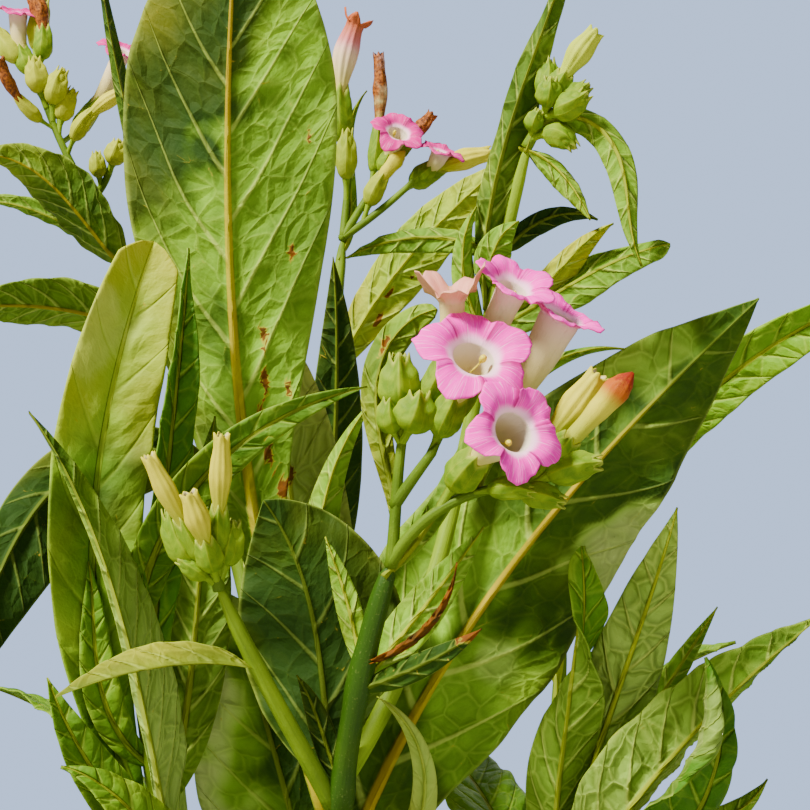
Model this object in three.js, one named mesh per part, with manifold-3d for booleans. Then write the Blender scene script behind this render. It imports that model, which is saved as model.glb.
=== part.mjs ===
// Tobacco plant in flower, rooted in the ground. Millimetres, +Z up.
// The origin is the middle of the flat cut under the stalk, at ground level, and the front faces -Y.
// Every stem, leaf and bloom is a line that grows from what carries it, with a section on it.
import * as THREE from 'three';
import { mergeVertices } from 'three/addons/utils/BufferGeometryUtils.js';
import Module from 'manifold-3d';

const wasm = await Module();
wasm.setup();

const GAP = 0.35; // clear space between neighbouring pieces
const LINE_STEPS = 48; // steps in which a line grows
const MERGE = 1e-4; // vertices closer than this are one
const OVERLAP = 1e-3; // volume of an overlap that is cut away

// Angles are degrees. heading turns in the front view from +X (0) up to +Z (90), and near tilts the
// line towards the front. Each is one value, or the values at the line's start, middle and end.
// at is the share of the carrying stem's length, and turn swings a row round the vertical.
const STALK = {
  heading: [90, 90.25, 89], near: [0, 0.25, -1], length: 850,
  girth: [11.5, 8], flare: 5, flareHeight: 22, steps: 9, crowding: 1.35, sides: 10,
};

// Shoots that carry the leaves and the flower heads; girth is the radius at foot and tip
const SHOOTS = {
  shoot_front: {
    on: 'stalk', at: 0.975, heading: [89, 90, 71], near: [7, 32, 14], length: 304, girth: [6, 3.6],
  },
  shoot_leader: {
    on: 'stalk', at: 1, heading: [90, 93, 84], near: [-11, -11, 7], length: 421, girth: [7.6, 2.6],
  },
  shoot_back_left: {
    on: 'stalk', at: 0.95, heading: [94, 101, 121], near: [-9, -9, 10], length: 494, girth: [6, 3.4],
  },
  shoot_left: {
    on: 'stalk', at: 0.9, heading: [90, 105, 91], near: [0, 19, 16], length: 342, girth: [6, 2.5],
  },
  shoot_right: {
    on: 'stalk', at: 0.87, heading: [88, 73, 70], near: [0, 15, 20], length: 326, girth: [6, 2.5],
  },
  shoot_hidden_right: {
    on: 'stalk', at: 0.93, heading: [73, 71, 89], near: [-22, -21, -1], length: 341, girth: [6, 3],
  },
  shoot_hidden_left: {
    on: 'stalk', at: 0.89, heading: [107, 106, 92], near: [-22, -22, -4], length: 359, girth: [6, 3],
  },
  branch_buds: {
    on: 'shoot_front', at: 0.755, heading: [117, 118, 112], near: [29, 27, 26], length: 75,
    girth: [3.2, 2.4],
  },
  branch_upper: {
    on: 'shoot_front', at: 0.783, heading: [58, 78, 74], near: [-20, 5, 29], length: 209, girth: [3.4, 2.2],
  },
};

const STEM = { step: 42, sides: 5 };

// A leaf's rows: width at its widest, broad the share where that is, roll 0 for the upper face to the
// front and 180 for the underside, fold and curl of its halves, wave of its margin
const LEAF = {
  near: 0, turn: 0, broad: 0.42, fullness: 1.7, roll: 180, fold: 14, curl: 0,
  wave: 0.04, waves: 2.5, foot: 0.14,
};
const THICK_SHARE = 1 / 90; // leaf thickness for its length
const THICK_LEAST = 0.9;
const LEAST_HALF_WIDTH = 0.6;
const WAVE_PHASES = [-0.4, 1.1]; // of the wave on a leaf's two margins
const BIG_LEAF = { length: 140, width: 60 }; // leaves above these have more faces

// Leaves that are a node each
const LEAVES = {
  leaf_front_dark: {
    on: 'shoot_front', at: 0.755, heading: [100, 100, 128], near: [-3, 9, 20], length: 92,
    width: 42, broad: 0.5,
  },
  leaf_front_tall: {
    on: 'shoot_front', at: 0.708, heading: [110, 95, 83], near: [-10, 11, 26], length: 302, width: 71,
    broad: 0.75, fullness: 3.4, fold: 8,
  },
  leaf_front_pale: {
    on: 'shoot_front', at: 0.557, heading: [105, 106, 109], near: [1, 8, 19], length: 119, width: 54,
  },
  leaf_front_arched: {
    on: 'shoot_front', at: 0.755, heading: [96, 91, 48], near: [-12, 6, 11], length: 125, width: 16,
    fold: 30,
  },
  leaf_front_scorched: {
    on: 'shoot_front', at: 0.69, heading: [97, 99, 87], near: [-46, -3, 12], length: 177, width: 40,
    broad: 0.6,
  },
  leaf_front_broad: {
    on: 'shoot_front', at: 0.66, heading: [69, 52, 41], near: [-5, 3, 32], length: 229, width: 72,
    roll: 195,
  },
  leaf_bud_branch: {
    on: 'branch_buds', at: 0.67, heading: [173, 191, 203], near: [28, 10, -6], length: 56, width: 16,
    roll: 150, fold: 55,
  },
  leaf_upper_narrow: {
    on: 'branch_upper', at: 0.75, heading: [94, 72, 72], near: [22, 19, 14], length: 119, width: 18,
    roll: 170, fold: 40, wave: 0.1,
  },
  leaf_left_thin: {
    on: 'shoot_left', at: 0.73, heading: [89, 101, 128], near: [62, 32, 11], length: 182, width: 24,
    roll: 200, fold: 45,
  },
  leaf_left_broad: {
    on: 'shoot_left', at: 0.79, heading: [117, 87, 73], near: [19, 18, 0], length: 197, width: 32,
    roll: 20, fold: 20,
    broad: 0.58,
  },
  leaf_left_crossing: {
    on: 'shoot_left', at: 0.98, heading: [84, 46, 13], near: [48, 28, -5], length: 125, width: 15, roll: 20,
  },
  leaf_left_lance: {
    on: 'shoot_left', at: 0.92, heading: [85, 83, 86], near: [30, 17, 9], length: 146, width: 18,
    roll: 40, fold: 35,
  },
  leaf_left_inner: {
    on: 'shoot_left', at: 0.82, heading: [75, 85, 82], near: [17, 13, 12], length: 126, width: 22,
  },
  leaf_left_low: {
    on: 'shoot_left', at: 0.7, heading: [136, 166, 232], near: [33, 34, 8], length: 110, width: 32,
    roll: 120,
  },
  leaf_right_edge: {
    on: 'shoot_right', at: 0.82, heading: [32, 59, 113], near: [30, 38, 0], length: 121, width: 24,
    roll: 20, fold: 30,
  },
  leaf_right_curled: {
    on: 'shoot_right', at: 0.86, heading: [96, 85, 80], near: [34, 24, 13], length: 117, width: 22,
    roll: 150, fold: 30,
  },
  leaf_right_tall: {
    on: 'shoot_right', at: 0.88, heading: [80, 72, 75], near: [26, 23, 14], length: 126, width: 26,
  },
  leaf_right_long: {
    on: 'shoot_right', at: 0.86, heading: [63, 50, 37], near: [41, 23, 6], length: 125, width: 34,
    roll: 220,
    fold: 30,
  },
  leaf_far_right: {
    on: 'shoot_hidden_right', at: 0.9, heading: [71, 57, 8], near: [31, 51, 27], length: 268,
    width: 36, roll: 20,
  },
  leaf_back_slanting: {
    on: 'shoot_leader', at: 0.85, heading: [61, 47, 37], near: [46, 29, 15], length: 120, width: 24,
    broad: 0.55,
  },
  leaf_back_inner: {
    on: 'shoot_leader', at: 0.62, heading: [88, 86, 95], near: [40, 40, 20], length: 150, width: 22,
  },
  leaf_far_left: {
    on: 'shoot_back_left', at: 0.86, heading: [161, 180, 194], near: [68, 30, 0], length: 113,
    width: 26, roll: 130,
  },
  leaf_left_drooping: {
    on: 'shoot_back_left', at: 0.72, heading: [120, 237, 243], near: [47, 35, -25], length: 188, width: 56,
    roll: 160,
  },
  leaf_back_narrow: {
    on: 'shoot_back_left', at: 0.81, heading: [98, 98, 106], near: [18, 16, 0], length: 172,
    width: 14, fold: 50,
  },
  leaf_back_left: {
    on: 'shoot_back_left', at: 0.94, heading: [140, 135, 188], near: [37, 27, 7], length: 79,
    width: 30, roll: 140,
  },
};

// Small leaves by the stem that carries them and is fused with them
const LEAFLETS = {
  shoot_front: [
    { at: 0.604, heading: [47, 71, 117], near: [41, 33, -5], length: 93, width: 14, fold: 30 },
    { at: 0.595, heading: [45, 25, -10], near: [5, 10, 0], length: 62, width: 10 },
    { at: 0.868, heading: [18, 24, 37], near: [32, 22, 15], length: 44, width: 8 },
    { at: 0.868, heading: [52, 52, 55], near: [-16, -11, 9], length: 65, width: 14 },
    { at: 0.896, heading: [14, 44, 85], near: [22, 20, 6], length: 45, width: 5 },
    { at: 0.887, heading: [97, 106, 111], near: [-18, -10, -2], length: 44, width: 8 },
    { at: 0.764, heading: [115, 109, 124], near: [23, 13, 10], length: 37, width: 8 },
    { at: 0.985, heading: [66, 99, 7], near: [7, -1, 13], length: 91, width: 13, foot: 0.3 },
    { at: 0.99, heading: [44, 57, -10], near: [-29, -3, 3], length: 111, width: 8, foot: 0.3 },
  ],
  branch_upper: [
    { at: 1, heading: [73, -70, -63], near: [21, 7, -14], length: 75, width: 12, foot: 0.2 },
    { at: 0.99, heading: [-27, -53, -66], near: [25, 2, -1], length: 32, width: 10, fold: 45 },
    { at: 0.83, heading: [51, 29, -26], near: [-21, -12, -5], length: 39, width: 8 },
    { at: 0.75, heading: [-20, 43, 21], near: [20, 28, 7], length: 49, width: 12, fold: 35 },
    { at: 0.7, heading: [21, 27, 8], near: [26, 19, 8], length: 66, width: 15, roll: 160 },
    { at: 0.69, heading: [120, 98, 56], near: [23, 21, 13], length: 46, width: 8 },
    { at: 0.77, heading: [124, 71, 27], near: [45, 42, 15], length: 28, width: 12 },
    { at: 0.82, heading: [147, 174, 189], near: [2, -28, -46], length: 61, width: 9 },
  ],
  shoot_left: [
    { at: 0.86, heading: [148, 99, 98], near: [40, 18, 15], length: 73, width: 12, roll: 20 },
    { at: 0.77, heading: [131, 122, 109], near: [51, 33, 11], length: 78, width: 16, roll: 20 },
    { at: 0.67, heading: [96, 108, 164], near: [44, 47, 5], length: 98, width: 24, roll: 40 },
  ],
  shoot_right: [
    { at: 0.97, heading: [58, 57, 58], near: [-5, 9, 17], length: 70, width: 9 },
    { at: 0.94, heading: [-19, 9, 62], near: [3, 9, 20], length: 62, width: 11 },
  ],
  shoot_leader: [
    { at: 0.98, heading: [63, 94, 47], near: [-8, 15, 10], length: 76, width: 6, foot: 0.3 },
  ],
  shoot_back_left: [
    { at: 0.95, heading: [151, 157, 188], near: [6, 5, -2], length: 73, width: 11, roll: 130 },
  ],
};

// Ranks of leaves up a stem: climb is the angle at which a leaf leaves its stem, and droop how far it
// bends down. The stalk's turn on in a spiral and are nodes, and the others are fused to their stems.
const SPIRAL = 137.5;
const RANK_LEAF = { roll: -90, fold: 20, curl: -30, broad: 0.48, fullness: 1.5 };
const DROOP_MIDDLE = 0.45; // share of the droop that a leaf's middle has
const STALK_RANK = {
  turns: Array.from({ length: 16 }, (_, i) => 250 + SPIRAL * i), at: [0.09, 0.87],
  length: [280, 470, 300], width: [140, 215, 120], climb: [28, 44, 60], droop: [52, 66, 70],
};
const SHOOT_RANKS = [
  {
    on: 'shoot_hidden_right', turns: [20, 75, 340, 110, 5, 215], at: [0.24, 0.92],
    length: [200, 150, 80], width: [60, 44, 22], climb: [38, 48, 62], droop: [56, 50, 30],
  },
  {
    on: 'shoot_hidden_left', turns: [160, 105, 200, 70, 175, 325], at: [0.24, 0.92],
    length: [200, 150, 80], width: [60, 44, 22], climb: [38, 48, 62], droop: [56, 50, 30],
  },
  {
    on: 'shoot_leader', turns: [90, 70, 100], at: [0.3, 0.56],
    length: [130, 100], width: [34, 26], climb: [52, 60], droop: 40,
  },
  {
    on: 'shoot_back_left', turns: [150, 120], at: [0.3, 0.46],
    length: [130, 100], width: [36, 28], climb: [46, 52], droop: 40,
  },
  {
    on: 'shoot_left', turns: [185, 220, 165], at: [0.2, 0.56],
    length: [180, 120], width: [54, 36], climb: [36, 44], droop: 60,
  },
  {
    on: 'shoot_right', turns: [355, 320, 15], at: [0.2, 0.6],
    length: [180, 120], width: [54, 36], climb: [36, 44], droop: 60,
  },
  {
    on: 'shoot_front', turns: [290, 250], at: [0.14, 0.34],
    length: [170, 130], width: [50, 40], climb: [30, 36], droop: 60,
  },
];

// Twigs that carry the blooms of a head, with the head they are fused into
const TWIGS = {
  front_top: {
    head: 'head_front', on: 'shoot_front', at: 1, heading: [84, 85, 76], near: [14, 13, 0], length: 51,
  },
  front_low: {
    head: 'head_front', on: 'front_top', at: 0, heading: [60, 28, -6], near: [27, 20, 10], length: 49,
  },
  front_high: { head: 'head_front', on: 'front_top', at: 0.35, heading: 52, near: [30, 21], length: 22 },
  buds: { head: 'head_buds', on: 'branch_buds', at: 1, heading: 100, near: 20, length: 4 },
  upper: { head: 'head_upper', on: 'branch_upper', at: 1, heading: 57, near: 24, length: 12 },
  leader_top: { head: 'head_leader', on: 'shoot_leader', at: 1, heading: 85, near: 6, length: 31 },
  leader_left: { head: 'head_leader', on: 'leader_top', at: 0, heading: 58, near: 10, length: 46 },
  leader_right: {
    head: 'head_leader', on: 'leader_top', at: 0, heading: [33, 42], near: [5, 16], length: 42,
  },
  back_top: {
    head: 'head_back_left', on: 'shoot_back_left', at: 1, heading: [123, 107], near: [6, 12], length: 64,
  },
  back_low: {
    head: 'head_back_left', on: 'back_top', at: 0.05, heading: [32, 83], near: [35, 20], length: 24,
  },
  hidden_right: {
    head: 'head_hidden_right', on: 'shoot_hidden_right', at: 1, heading: 87, near: 0, length: 34,
  },
  hidden_left: {
    head: 'head_hidden_left', on: 'shoot_hidden_left', at: 1, heading: 95, near: 0, length: 34,
  },
};
const TWIG_GIRTH = [1.9, 1.3];

// Blooms by their twig: girth is the calyx's radius, and length runs from the twig to the bloom's tip
const BLOOMS = {
  front_high: [
    { at: 0.75, kind: 'open', heading: [76, 54], near: [19, 62], length: 37, girth: 3.8, limb: 17 },
    { at: 0.85, kind: 'open', heading: [59, 66], near: [-33, 21], length: 59, girth: 3.8, limb: 13 },
  ],
  front_low: [
    { at: 0.45, kind: 'open', heading: [71, 7], near: [19, 58], length: 34, girth: 4.2, limb: 15 },
    { at: 0.7, kind: 'open', heading: [58, 84], near: [-21, 17], length: 57, girth: 4, limb: 12 },
    { at: 1, kind: 'tube', heading: 46, near: [11, 17], length: 45, girth: 4.2 },
    { at: 0.9, kind: 'bud', heading: 51, near: [-5, 19], length: 43, girth: 4.6 },
    { at: 1, kind: 'calyx', heading: [29, 3], near: [21, 5], length: 24, girth: 4.2 },
    { at: 0.85, kind: 'calyx', heading: [-11, -20], near: [17, 6], length: 20, girth: 3.4 },
    { at: 0.65, kind: 'calyx', heading: [18, -22], near: [33, 10], length: 22, girth: 3 },
  ],
  front_top: [
    { at: 0.8, kind: 'open', heading: [63, 70], near: [-22, 8], length: 36, girth: 3.6, limb: 9 },
    { at: 0.72, kind: 'calyx', heading: [95, 89], near: 12, length: 26, girth: 4.6 },
    { at: 0.7, kind: 'calyx', heading: [49, 87], near: [51, 8], length: 18, girth: 4.6 },
    { at: 0.68, kind: 'calyx', heading: [130, 76], near: [33, 11], length: 16, girth: 2.8 },
  ],
  buds: [
    { at: 0, kind: 'bud', heading: [121, 115], near: [27, 18], length: 44, girth: 3.8 },
    { at: 0, kind: 'bud', heading: [104, 108], near: [42, 22], length: 31, girth: 5 },
    { at: 0, kind: 'bud', heading: [89, 86], near: [21, 18], length: 45, girth: 4 },
    { at: 0, kind: 'calyx', heading: [70, 83], near: [11, 12], length: 20, girth: 4.2 },
    { at: 0, kind: 'calyx', heading: [147, 98], near: [13, 15], length: 28, girth: 4.4 },
    { at: 0, kind: 'calyx', heading: 148, near: [36, 9], length: 15, girth: 2.8 },
  ],
  upper: [
    { at: 0.8, kind: 'bud', heading: [68, 46], near: [19, 12], length: 32, girth: 4 },
    { at: 0.7, kind: 'calyx', heading: [76, 93], near: [7, 6], length: 21, girth: 4 },
    { at: 0.8, kind: 'calyx', heading: [77, 86], near: [60, 22], length: 14, girth: 4 },
    { at: 0.8, kind: 'calyx', heading: [28, 38], near: [22, 10], length: 18, girth: 4 },
    { at: 0.8, kind: 'calyx', heading: [-14, 46], near: [56, 13], length: 18, girth: 4.4 },
    { at: 0.1, kind: 'calyx', heading: [19, -61], near: [50, -5], length: 18, girth: 3.8 },
    { at: 0.1, kind: 'calyx', heading: [91, 51], near: [52, 26], length: 11, girth: 3 },
  ],
  leader_top: [
    { at: 1, kind: 'bud', heading: [119, 50], near: [15, 17], length: 69, girth: 4.4 },
    { at: 0.5, kind: 'calyx', heading: [91, 86], near: [20, 15], length: 33, girth: 4.6 },
  ],
  leader_left: [
    { at: 0.45, kind: 'tube', heading: [82, 95], near: [11, 16], length: 65, girth: 3.4 },
    { at: 0.6, kind: 'open', heading: [64, 79], near: [10, 60], length: 27, girth: 3.6, limb: 12 },
    { at: 0.8, kind: 'tube', heading: [42, 54], near: 12, length: 31, girth: 3.4 },
  ],
  leader_right: [
    { at: 0.9, kind: 'open', heading: [38, 75], near: [-4, 13], length: 21, girth: 3.6, limb: 11 },
    { at: 0.7, kind: 'open', heading: [42, 6], near: [17, 2], length: 47, girth: 4.4, limb: 11 },
    { at: 0.25, kind: 'bud', heading: [76, 41], near: [18, 11], length: 37, girth: 4.2 },
  ],
  back_top: [
    { at: 0.75, kind: 'calyx', heading: [114, 91], near: [22, 16], length: 39, girth: 5 },
    { at: 0.65, kind: 'calyx', heading: [90, 61], near: [22, 14], length: 43, girth: 5 },
    { at: 0.55, kind: 'calyx', heading: [88, 56], near: 5, length: 45, girth: 4.6 },
    { at: 0.4, kind: 'bud', heading: [66, 11], near: [33, 11], length: 35, girth: 4.6 },
    { at: 0.6, kind: 'bud', heading: [160, 100], near: [31, 33], length: 28, girth: 4.4 },
    { at: 1, kind: 'tube', heading: [65, 129], near: [11, 4], length: 42, girth: 4 },
    { at: 0.5, kind: 'open', heading: 70, near: [-5, 18], length: 57, girth: 4.2, limb: 11 },
    { at: 0.95, kind: 'open', heading: [131, 86], near: [27, 13], length: 37, girth: 4.2, limb: 11 },
    { at: 1, kind: 'calyx', heading: [95, 80], near: -5, length: 40, girth: 4.6 },
    { at: 1, kind: 'calyx', heading: [140, 120], near: -10, length: 36, girth: 4.6 },
  ],
  back_low: [
    { at: 0.6, kind: 'calyx', heading: [55, 78], near: [44, 9], length: 17, girth: 4.6 },
    { at: 0.3, kind: 'calyx', heading: [93, 96], near: [50, 3], length: 17, girth: 3.6 },
  ],
};

// The heads of the hidden side: rings of blooms round a twig
const HIDDEN_HEADS = {
  twigs: ['hidden_right', 'hidden_left'],
  kinds: ['calyx', 'open', 'bud', 'calyx', 'open', 'calyx', 'bud'],
  at: [0.3, 1], heading: [30, 62], length: 36, girth: 4.2, limb: 13,
};

// Radius for the calyx's at shares of a bloom's length, and the sides of its section
const KINDS = {
  calyx: { sides: 4, rings: [[0, 0.28], [0.3, 0.3], [0.55, 1], [0.8, 0.9], [1, 0.15]] },
  bud: { sides: 4, rings: [[0, 0.25], [0.25, 0.3], [0.45, 1.05], [0.85, 0.72], [1, 0.2]] },
  tube: { sides: 4, rings: [[0, 0.25], [0.2, 0.3], [0.4, 0.9], [0.8, 0.95], [1, 0.15]] },
  open: { sides: 5, rings: [[0, 0.25], [0.2, 0.3], [0.42, 1], [0.56, 0.75], [0.88, 0.95]] },
};
const LIMB = { back: 0.96, backSize: 0.98, throat: 0.9 }; // back and throat are shares of the length

const COLOURS = { stem: '#6f8f3a', leaf: '#6d9434', lowLeaf: '#5f8a34', flowers: '#d98ab0' };

const UP = new THREE.Vector3(0, 0, 1);
const rad = THREE.MathUtils.degToRad;

// Value at share s of a line, from one value or those at its start, (middle) and end
function along(values, s) {
  const v = [values].flat();
  if (v.length === 1) return v[0];
  if (v.length === 2) return v[0] + (v[1] - v[0]) * s;
  return v[0] * (1 - s) * (1 - 2 * s) + v[1] * 4 * s * (1 - s) + v[2] * s * (2 * s - 1);
}

// The leaves of a rank, lowest first
function rankLeaves(rank) {
  return rank.turns.map((turn, i) => {
    const share = i / (rank.turns.length - 1);
    const climb = along(rank.climb, share);
    const droop = along(rank.droop, share);
    return {
      at: along(rank.at, share), turn,
      heading: [climb, climb - DROOP_MIDDLE * droop, climb - droop],
      length: along(rank.length, share), width: along(rank.width, share),
      ...RANK_LEAF,
    };
  });
}

// Direction of a row's line at share s
function directionOf(row, s) {
  const heading = rad(along(row.heading, s));
  const near = rad(along(row.near ?? 0, s));
  const flat = Math.cos(near);
  const direction = new THREE.Vector3(flat * Math.cos(heading), -Math.sin(near), flat * Math.sin(heading));
  return direction.applyAxisAngle(UP, rad(row.turn ?? 0));
}

// The line that a row grows from its start: place(s) gives the point, its direction and its front
function grow(row, start) {
  const points = [start.clone()];
  for (let i = 0; i < LINE_STEPS; i += 1) {
    const step = directionOf(row, (i + 0.5) / LINE_STEPS).multiplyScalar(row.length / LINE_STEPS);
    points.push(points[i].clone().add(step));
  }
  const front = new THREE.Vector3(0, -1, 0).applyAxisAngle(UP, rad(row.turn ?? 0));
  return (s) => {
    const step = Math.min(Math.max(s, 0) * LINE_STEPS, LINE_STEPS - 1e-6);
    const below = Math.floor(step);
    const point = points[below].clone().lerp(points[below + 1], step - below);
    const tangent = directionOf(row, s);
    const face = front.clone().addScaledVector(tangent, -front.dot(tangent)).normalize();
    return { point, tangent, face };
  };
}

// Closed solid of a geometry whose points are moved by place
function bend(geometry, place) {
  const position = geometry.attributes.position;
  const point = new THREE.Vector3();
  for (let i = 0; i < position.count; i += 1) {
    point.fromBufferAttribute(position, i);
    const moved = place(point.x, point.y + 0.5, point.z);
    position.setXYZ(i, moved.x, moved.y, moved.z);
  }
  geometry.deleteAttribute('normal');
  geometry.deleteAttribute('uv');
  const merged = mergeVertices(geometry, MERGE);
  return new wasm.Manifold(new wasm.Mesh({
    numProp: 3,
    vertProperties: new Float32Array(merged.attributes.position.array),
    triVerts: new Uint32Array(merged.index.array),
  }));
}

// Round section on a line: shares lists where the rings are, and reach gives a ring point's distance
function loft(line, shares, sides, reach, capAt = null) {
  const steps = shares.length - 1;
  return bend(new THREE.CylinderGeometry(1, 1, 1, sides, steps), (x, up, z) => {
    const onAxis = Math.hypot(x, z) < 0.5;
    const ring = Math.round(up * steps);
    const share = onAxis && ring === steps && capAt !== null ? capAt : shares[ring];
    const { point, tangent, face } = line(share);
    if (onAxis) return point;
    const side = tangent.clone().cross(face);
    const radius = reach(shares[ring], ring);
    return point.addScaledVector(side, x * radius).addScaledVector(face, z * radius);
  });
}

// Evenly spaced shares from 0 to 1
function evenly(steps) {
  return Array.from({ length: steps + 1 }, (_, i) => i / steps);
}

function stalkSolid(line, extra) {
  const shares = evenly(STALK.steps).map((s) => s ** STALK.crowding);
  return loft(line, shares, STALK.sides, (s) => {
    const flare = STALK.flare * Math.exp((-s * STALK.length) / STALK.flareHeight);
    return along(STALK.girth, s) + flare + extra;
  });
}

function stemSolid(line, row, extra) {
  const steps = Math.max(2, Math.round(row.length / STEM.step));
  return loft(line, evenly(steps), STEM.sides, (s) => along(row.girth, s) + extra);
}

// Half of a leaf's width at share s
function halfWidth(leaf, s) {
  const { broad, fullness, foot } = leaf;
  const inner = Math.min(Math.max(s, 1e-6), 1 - 1e-6);
  const rise = (inner / broad) ** (fullness * broad);
  const fall = ((1 - inner) / (1 - broad)) ** (fullness * (1 - broad));
  return Math.max((leaf.width / 2) * Math.max(rise * fall, foot * (1 - s) ** 2), LEAST_HALF_WIDTH);
}

// A leaf on its line: t runs across from -1 to 1, and face is -1 or 1 for its underside or upper side
function leafSolid(line, row, extra) {
  const leaf = { ...LEAF, ...row };
  const steps = leaf.length > BIG_LEAF.length ? 6 : 4;
  const across = leaf.width > BIG_LEAF.width ? 4 : 2;
  const half = Math.max(leaf.length * THICK_SHARE, THICK_LEAST) / 2 + extra;
  return bend(new THREE.BoxGeometry(2, 1, 2, across, steps, 1), (t, s, face) => {
    const { point, tangent, face: forward } = line(s);
    const roll = rad(along(leaf.roll, s));
    const level = tangent.clone().cross(forward);
    const normal = forward.multiplyScalar(Math.cos(roll)).addScaledVector(level, Math.sin(roll));
    const side = tangent.clone().cross(normal);
    const reach = halfWidth(leaf, s) + extra;
    const fold = rad(along(leaf.fold, s));
    const bow = rad(along(leaf.curl, s)) || 1e-3;
    const a = Math.abs(t);
    const out = ((Math.sin(fold + bow * a) - Math.sin(fold)) / bow) * reach;
    const lift = ((Math.cos(fold) - Math.cos(fold + bow * a)) / bow) * reach;
    const turns = 2 * Math.PI * leaf.waves * s + WAVE_PHASES[t > 0 ? 1 : 0];
    const ripple = leaf.wave * 2 * reach * a * a * Math.sin(turns);
    return point
      .addScaledVector(side, Math.sign(t) * out)
      .addScaledVector(normal, lift + ripple + face * half)
      .addScaledVector(tangent, s < 0.5 ? -extra : extra);
  });
}

function bloomSolid(line, row, extra) {
  const kind = KINDS[row.kind];
  const rings = kind.rings.map(([share, size]) => [share, size * row.girth]);
  if (row.limb) rings.push([LIMB.back, row.limb * LIMB.backSize], [1, row.limb]);
  const reach = (s, ring) => rings[ring][1] + extra;
  return loft(line, rings.map(([share]) => share), kind.sides, reach, row.limb ? LIMB.throat : null);
}

// Where a row starts on what carries it: on the axis, or clear of its surface
function startOf(row, carrier, clear) {
  const { point, tangent } = carrier.line(row.at);
  if (!clear) return point;
  if (row.at === 1) return point.addScaledVector(tangent, GAP);
  const out = directionOf(row, 0);
  out.addScaledVector(tangent, -out.dot(tangent)).normalize();
  return point.addScaledVector(out, along(carrier.girth, row.at) + GAP);
}

// The biggest body of a solid that was fused or cut, with any sealed hollow filled
function biggest(solid) {
  const bodies = solid.decompose();
  return bodies.reduce((best, body) => (body.volume() > best.volume() ? body : best));
}

const group = new THREE.Group();
const stems = {}; // lines that carry others, by name
const settled = []; // solids that are placed, each grown by the gap

// Adds a node: its solid keeps clear of all that is placed before it
function addNode(name, colour, make) {
  let solid = biggest(make(0));
  for (const other of settled) {
    if (solid.intersect(other).volume() > OVERLAP) solid = biggest(solid.subtract(other));
  }
  settled.push(make(GAP));
  const { vertProperties, triVerts } = solid.getMesh();
  const geometry = new THREE.BufferGeometry();
  geometry.setAttribute('position', new THREE.BufferAttribute(new Float32Array(vertProperties), 3));
  geometry.setIndex(new THREE.BufferAttribute(new Uint32Array(triVerts), 1));
  geometry.computeVertexNormals();
  const material = new THREE.MeshStandardMaterial({ color: colour, roughness: 0.6, metalness: 0 });
  const mesh = new THREE.Mesh(geometry, material);
  mesh.name = name;
  group.add(mesh);
}

function fuse(solids) {
  return solids.reduce((whole, solid) => whole.add(solid));
}

// Registers a stem so that others can grow from it; a stem that branches starts clear of its carrier
function plant(name, row, girth, clear) {
  const start = startOf(row, stems[row.on], clear);
  stems[name] = { line: grow(row, start), girth };
  return stems[name].line;
}

stems.stalk = { line: grow(STALK, new THREE.Vector3()), girth: STALK.girth };
addNode('stalk', COLOURS.stem, (extra) => stalkSolid(stems.stalk.line, extra));

for (const [name, row] of Object.entries(SHOOTS)) {
  const line = plant(name, row, row.girth, true);
  const ranks = SHOOT_RANKS.filter((rank) => rank.on === name);
  const small = [...(LEAFLETS[name] ?? []), ...ranks.flatMap(rankLeaves)];
  addNode(name, COLOURS.stem, (extra) => fuse([
    stemSolid(line, row, extra),
    ...small.map((leaflet) => leafSolid(grow(leaflet, startOf(leaflet, stems[name], false)), leaflet, extra)),
  ]));
}

for (const [name, row] of Object.entries(TWIGS)) plant(name, row, TWIG_GIRTH, row.on in SHOOTS);

HIDDEN_HEADS.twigs.forEach((twig) => {
  BLOOMS[twig] = HIDDEN_HEADS.kinds.map((kind, i) => ({
    at: along(HIDDEN_HEADS.at, i / (HIDDEN_HEADS.kinds.length - 1)), kind, turn: SPIRAL * i,
    heading: HIDDEN_HEADS.heading, length: HIDDEN_HEADS.length, girth: HIDDEN_HEADS.girth,
    limb: kind === 'open' ? HIDDEN_HEADS.limb : 0,
  }));
});

const heads = [...new Set(Object.values(TWIGS).map((twig) => twig.head))];
for (const head of heads) {
  const twigs = Object.keys(TWIGS).filter((name) => TWIGS[name].head === head);
  addNode(head, COLOURS.flowers, (extra) => fuse(twigs.flatMap((name) => [
    stemSolid(stems[name].line, { ...TWIGS[name], girth: TWIG_GIRTH }, extra),
    ...BLOOMS[name].map((bloom) => bloomSolid(grow(bloom, startOf(bloom, stems[name], false)), bloom, extra)),
  ])));
}

for (const [name, row] of Object.entries(LEAVES)) {
  const line = grow(row, startOf(row, stems[row.on], true));
  addNode(name, COLOURS.leaf, (extra) => leafSolid(line, row, extra));
}

rankLeaves(STALK_RANK).forEach((leaf, i) => {
  const line = grow(leaf, startOf(leaf, stems.stalk, true));
  const name = `leaf_low_${String(i + 1).padStart(2, '0')}`;
  addNode(name, COLOURS.lowLeaf, (extra) => leafSolid(line, leaf, extra));
});

export default group;
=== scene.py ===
# Tobacco plant in flower. Rows are millimetres and degrees, as in the part's source, and the scene is metres.
import math

import bpy
import numpy as np
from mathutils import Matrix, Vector, noise


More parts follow.
